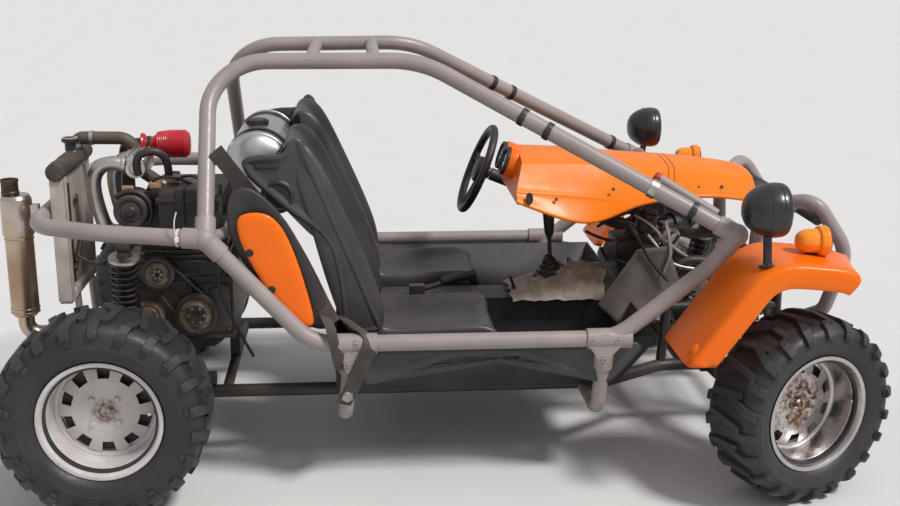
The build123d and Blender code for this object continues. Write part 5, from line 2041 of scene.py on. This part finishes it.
@dataclass
class FrameTrim:
    """Bolts, washers, plates, clips, a clamp and a cable tie on the frame."""

    def build(self) -> None:
        """Build the frame's small parts."""
        self.sill()
        self.clips()
        self.skirt()

    def sill(self) -> None:
        """Bolt the gusset plates on the sill brackets."""
        plates, bolts = [], []
        for corners in (
                ((664, 470), (742, 462), (738, 422), (704, 404), (690, 352), (662, 352)),
                ((1366, 464), (1476, 466), (1474, 420), (1440, 402), (1430, 356), (1400, 356),
                (1392, 404), (1366, 420))):
            outline = [at(x, -622, z) for x, z in corners]
            plates.append(Shop.slab("gusset", outline, OUT, 5, ((3, 2), (6, 0.3)), 1))
        for x, z in ((703, 446), (675, 386), (1381, 443), (1454, 442), (1416, 384)):
            spot = facing(at(x, -629, z), OUT)
            bolts.append(
                Shop.lathe("washer", [(15, -3), (15, 0), (14, 1.4), (9.5, 1.4)], spot, 28, 30))
            bolts.append(
                Shop.lathe("head", [(9, 0), (9, 5), (7.5, 7), (5, 7), (4.6, 3.5), (0, 3)], spot, 6,
                30))
        both("gussets", Shop.join("gussets", plates), FRAME_PAINT)
        both("gusset_bolts", Shop.join("gusset_bolts", bolts), FRAME_PAINT)

    def clips(self) -> None:
        """Add hose clips on the pillars, the clamp and the cable tie."""
        direction = Vector((881, -318, -462)).normalized()
        near = []
        for x, y, z in ((1197, -407, 1057), (1268, -433, 1019), (1668, -577, 810)):
            base = facing(at(x, y, z), direction)
            near.append(
                Shop.lathe("clip", [(24, -9), (27, -8.6), (27.4, -6), (27.4, 6), (27, 8.6),
                (24, 9)], base, 32, 30))
            near.append(Shop.block("lug", (-30, -8, -10), (-24, 8, 10), 2, base))
        both("pillar_clips", Shop.join("pillar_clips", near), BLACK_TRIM)
        clamp = Shop.lathe(
            "clamp", [(24, -12), (28, -11), (28, 11), (24, 12)],
            facing(at(1560, -538, 867), direction), 32, 30)
        Shop.dress(clamp, STEEL)
        stay = Shop.tube("pillar_stay", route(((1574, -515, 897), (1735, -590, 803))), 14, 8, False)
        Shop.dress(stay, FRAME_PAINT)
        plug = Shop.lathe(
            "plug", [(14.2, 12), (15, 10), (15, -4), (12, -8), (0, -9)],
            facing(at(1574, -515, 897), Vector((161, -75, -94))), 28, 40)
        Shop.dress(plug, RED_WIRE)
        along = Vector((292, -36, -12)).normalized()
        tie = Shop.lathe(
            "tie", [(24, -3), (25.6, -2.6), (25.6, 2.6), (24, 3)],
            facing(at(218, -593, 757), along), 36, 30)
        head = Shop.block("head", (212, -628, 752), (224, -616, 766), 1.5)
        tail = Shop.tube(
            "tail", route(((218, -622, 764), (208, -632, 800), (222, -628, 838))), 1.8, 4)
        Shop.unite("cable_tie", [tie, head, tail], WHITE_TIE)

    def skirt(self) -> None:
        """Hang the moulded shell under each sill, with its scalloped lower edge."""
        edge = [
            (714, 426), (1000, 428), (1300, 428), (1540, 426), (1500, 356), (1446, 296),
            (1400, 300), (1336, 322), (1270, 352), (1180, 382), (1076, 394), (980, 384), (880, 352),
            (800, 322), (740, 306), (712, 330)]
        corners = smoothed([*edge, edge[0]], 2)[:-1]
        outline = [at(x, -575, min(z, 428)) for x, z in corners]
        skirt = Shop.slab("skirt", outline, OUT, 12, ((5, 4), (12, 2), (14, -4), (8, 0)), 1)
        both("sill_skirt", skirt, SEAT_SHELL)
        lip = [Shop.block("lip", (720, -606, 408), (1380, -586, 418), 3)]
        for k in range(8):
            lip.append(
                Shop.lathe("screw", [(6, -1), (6, 2), (0, 3)],
                facing(at(770 + k * 78, -606, 413), OUT), 10, 30))
        both("sill_lip", Shop.join("sill_lip", lip), BLACK_TRIM)


@dataclass
class Muffler:
    """The sleeve, rim and pipe seams on the silencer."""

    def build(self) -> None:
        """Build the silencer's upper sleeve and its dark outlet rim."""
        up = facing(at(-294, -300, 0), UP)
        sleeve = Shop.lathe(
            "sleeve", [(41.5, 700), (45.5, 702), (45.5, 806), (44, 812), (40, 816), (34, 819)], up,
            48, 30)
        seams = [
            Shop.lathe("seam", [(41, z - 3), (43, z - 2), (43, z + 2), (41, z + 3)], up, 48, 30)
            for z in (462, 474, 690)]
        Shop.unite("muffler_sleeve", [sleeve, *seams], MUFFLER)
        neck = facing(at(-308, -300, 0), UP)
        rim = Shop.lathe(
            "rim", [(24.5, 822), (26, 824), (26, 832), (24.5, 834), (24.5, 860), (26.5, 862),
            (26.5, 868), (22, 869), (21, 840), (0.05, 836)], neck, 36, 30)
        Shop.dress(rim, SOOT)


@dataclass(frozen=True)
class Camera:
    """The camera that matches the photograph.

    Args:
        eye: its place in metres
        yaw: how far it looks to the right of straight across, in radians
        pitch: how far it looks down
        roll: its roll
        lens: its focal length for a 36 mm sensor
    """

    eye: Point = (0.71762 + REAR_AXLE_X * MM, -3.83951, 1.59757)
    yaw: float = 0.0779918
    pitch: float = 0.2628835
    roll: float = 0.0044187
    lens: float = 47.805


@dataclass
class Studio:
    """The camera, the plain pale floor and the soft light.

    Args:
        camera: the camera's place and lens
        floor_size: the floor's side in metres
        sun: the sun's strength
        sky: the sky's strength
        sun_turn: the sun's turn about each axis in degrees
        sun_width: how wide it looks, in degrees, which softens shadows
        sky_colour: the sky's colour
    """

    camera: Camera = field(default_factory=Camera)
    floor_size: float = 120
    sun: float = 2.85
    sky: float = 0.52
    sun_turn: Point = (34, 16, 30)
    sun_width: float = 12
    sky_colour: Point = (0.95, 0.96, 1)

    def stand_camera(self) -> None:
        """Stand the camera where the photograph was taken."""
        view = self.camera
        forward = Vector(
            (math.sin(view.yaw) * math.cos(view.pitch), math.cos(view.yaw) * math.cos(view.pitch),
            -math.sin(view.pitch)))
        right = Vector((math.cos(view.yaw), -math.sin(view.yaw), 0))
        up = right.cross(forward)
        cos_roll, sin_roll = math.cos(view.roll), math.sin(view.roll)
        right, up = cos_roll * right + sin_roll * up, cos_roll * up - sin_roll * right
        data = bpy.data.cameras.new("camera")
        data.lens = view.lens
        data.sensor_width = 36
        data.clip_end = 400
        data.dof.use_dof = False
        item = bpy.data.objects.new("camera", data)
        turn = Matrix((right, up, -forward)).transposed().to_4x4()
        item.matrix_world = Matrix.Translation(view.eye) @ turn
        bpy.context.scene.collection.objects.link(item)
        bpy.context.scene.camera = item

    def floor(self) -> None:
        """Lay the floor with a plain pale finish."""
        bpy.ops.mesh.primitive_plane_add(size=self.floor_size, location=(0, 0, 0))
        floor = bpy.context.object
        floor.name = "floor"
        graph = Graph("pale floor")
        graph.shader.inputs["Roughness"].default_value = 0.9
        graph.colour = graph.mix(
            graph.noise(3, 6), (0.63, 0.62, 0.60), (0.65, 0.64, 0.62), 0.35, 0.65)
        graph.link(graph.colour, graph.shader.inputs["Base Color"])
        floor.data.materials.append(graph.material)

    def lamps(self) -> None:
        """Light the scene with one soft sun and a pale sky."""
        sun = bpy.data.lights.new("sun", "SUN")
        sun.energy = self.sun
        sun.angle = math.radians(self.sun_width)
        item = bpy.data.objects.new("sun", sun)
        item.rotation_euler = [math.radians(turn) for turn in self.sun_turn]
        bpy.context.scene.collection.objects.link(item)
        world = bpy.data.worlds.new("sky")
        world.use_nodes = True
        background = world.node_tree.nodes["Background"]
        background.inputs["Color"].default_value = (*self.sky_colour, 1)
        background.inputs["Strength"].default_value = self.sky
        bpy.context.scene.world = world
        bpy.context.scene.view_settings.view_transform = "Standard"

    def build(self) -> None:
        """Set up the whole studio."""
        self.stand_camera()
        self.floor()
        self.lamps()


def dress_nodes() -> None:
    """Give every carried-over CAD node its finish."""
    for finish, names in NODE_FINISHES.items():
        for name in names:
            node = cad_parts[name]
            node.data.materials.clear()
            node.data.materials.append(finish.material())


def wheels() -> list[Wheel]:
    """List the four wheels at rest.

    Returns:
        The wheels, the rear pair first.
    """
    four = []
    for side, sign in (("right", -1), ("left", 1)):
        place = rim_place(0, sign * REAR_RIM_Y, REAR_AXLE_Z, 0, 0)
        four.append(
            Wheel(f"rear_{side}", place, REAR_TYRE_R, REAR_TYRE_W, f"wheel_rear_{side}", REAR_RUST))
    for side, sign in (("right", -1), ("left", 1)):
        place = rim_place(WHEELBASE, sign * KINGPIN_Y, FRONT_AXLE_Z, STEER_REST, KINGPIN_TO_RIM)
        four.append(
            Wheel(f"front_{side}", place, FRONT_TYRE_R, FRONT_TYRE_W, f"wheel_front_{side}",
            FRONT_RUST, Coat.BARE))
    return four


def main() -> None:
    """Build the studio, dress the frame and add each sub-assembly."""
    logging.basicConfig(level=logging.INFO, format="%(message)s")
    Shop.clear()
    dress_nodes()
    parts = [
        *wheels(), NoseShell(), Fenders(), Lamps(), Seats(), Belts(), Tank(), Dampers(),
        SidePanels(), SeatWings(), EngineBay(), Cockpit(), FrameTrim(), Muffler()]
    for part in parts:
        part.build()
    Studio().build()


if __name__ == "__main__":
    main()
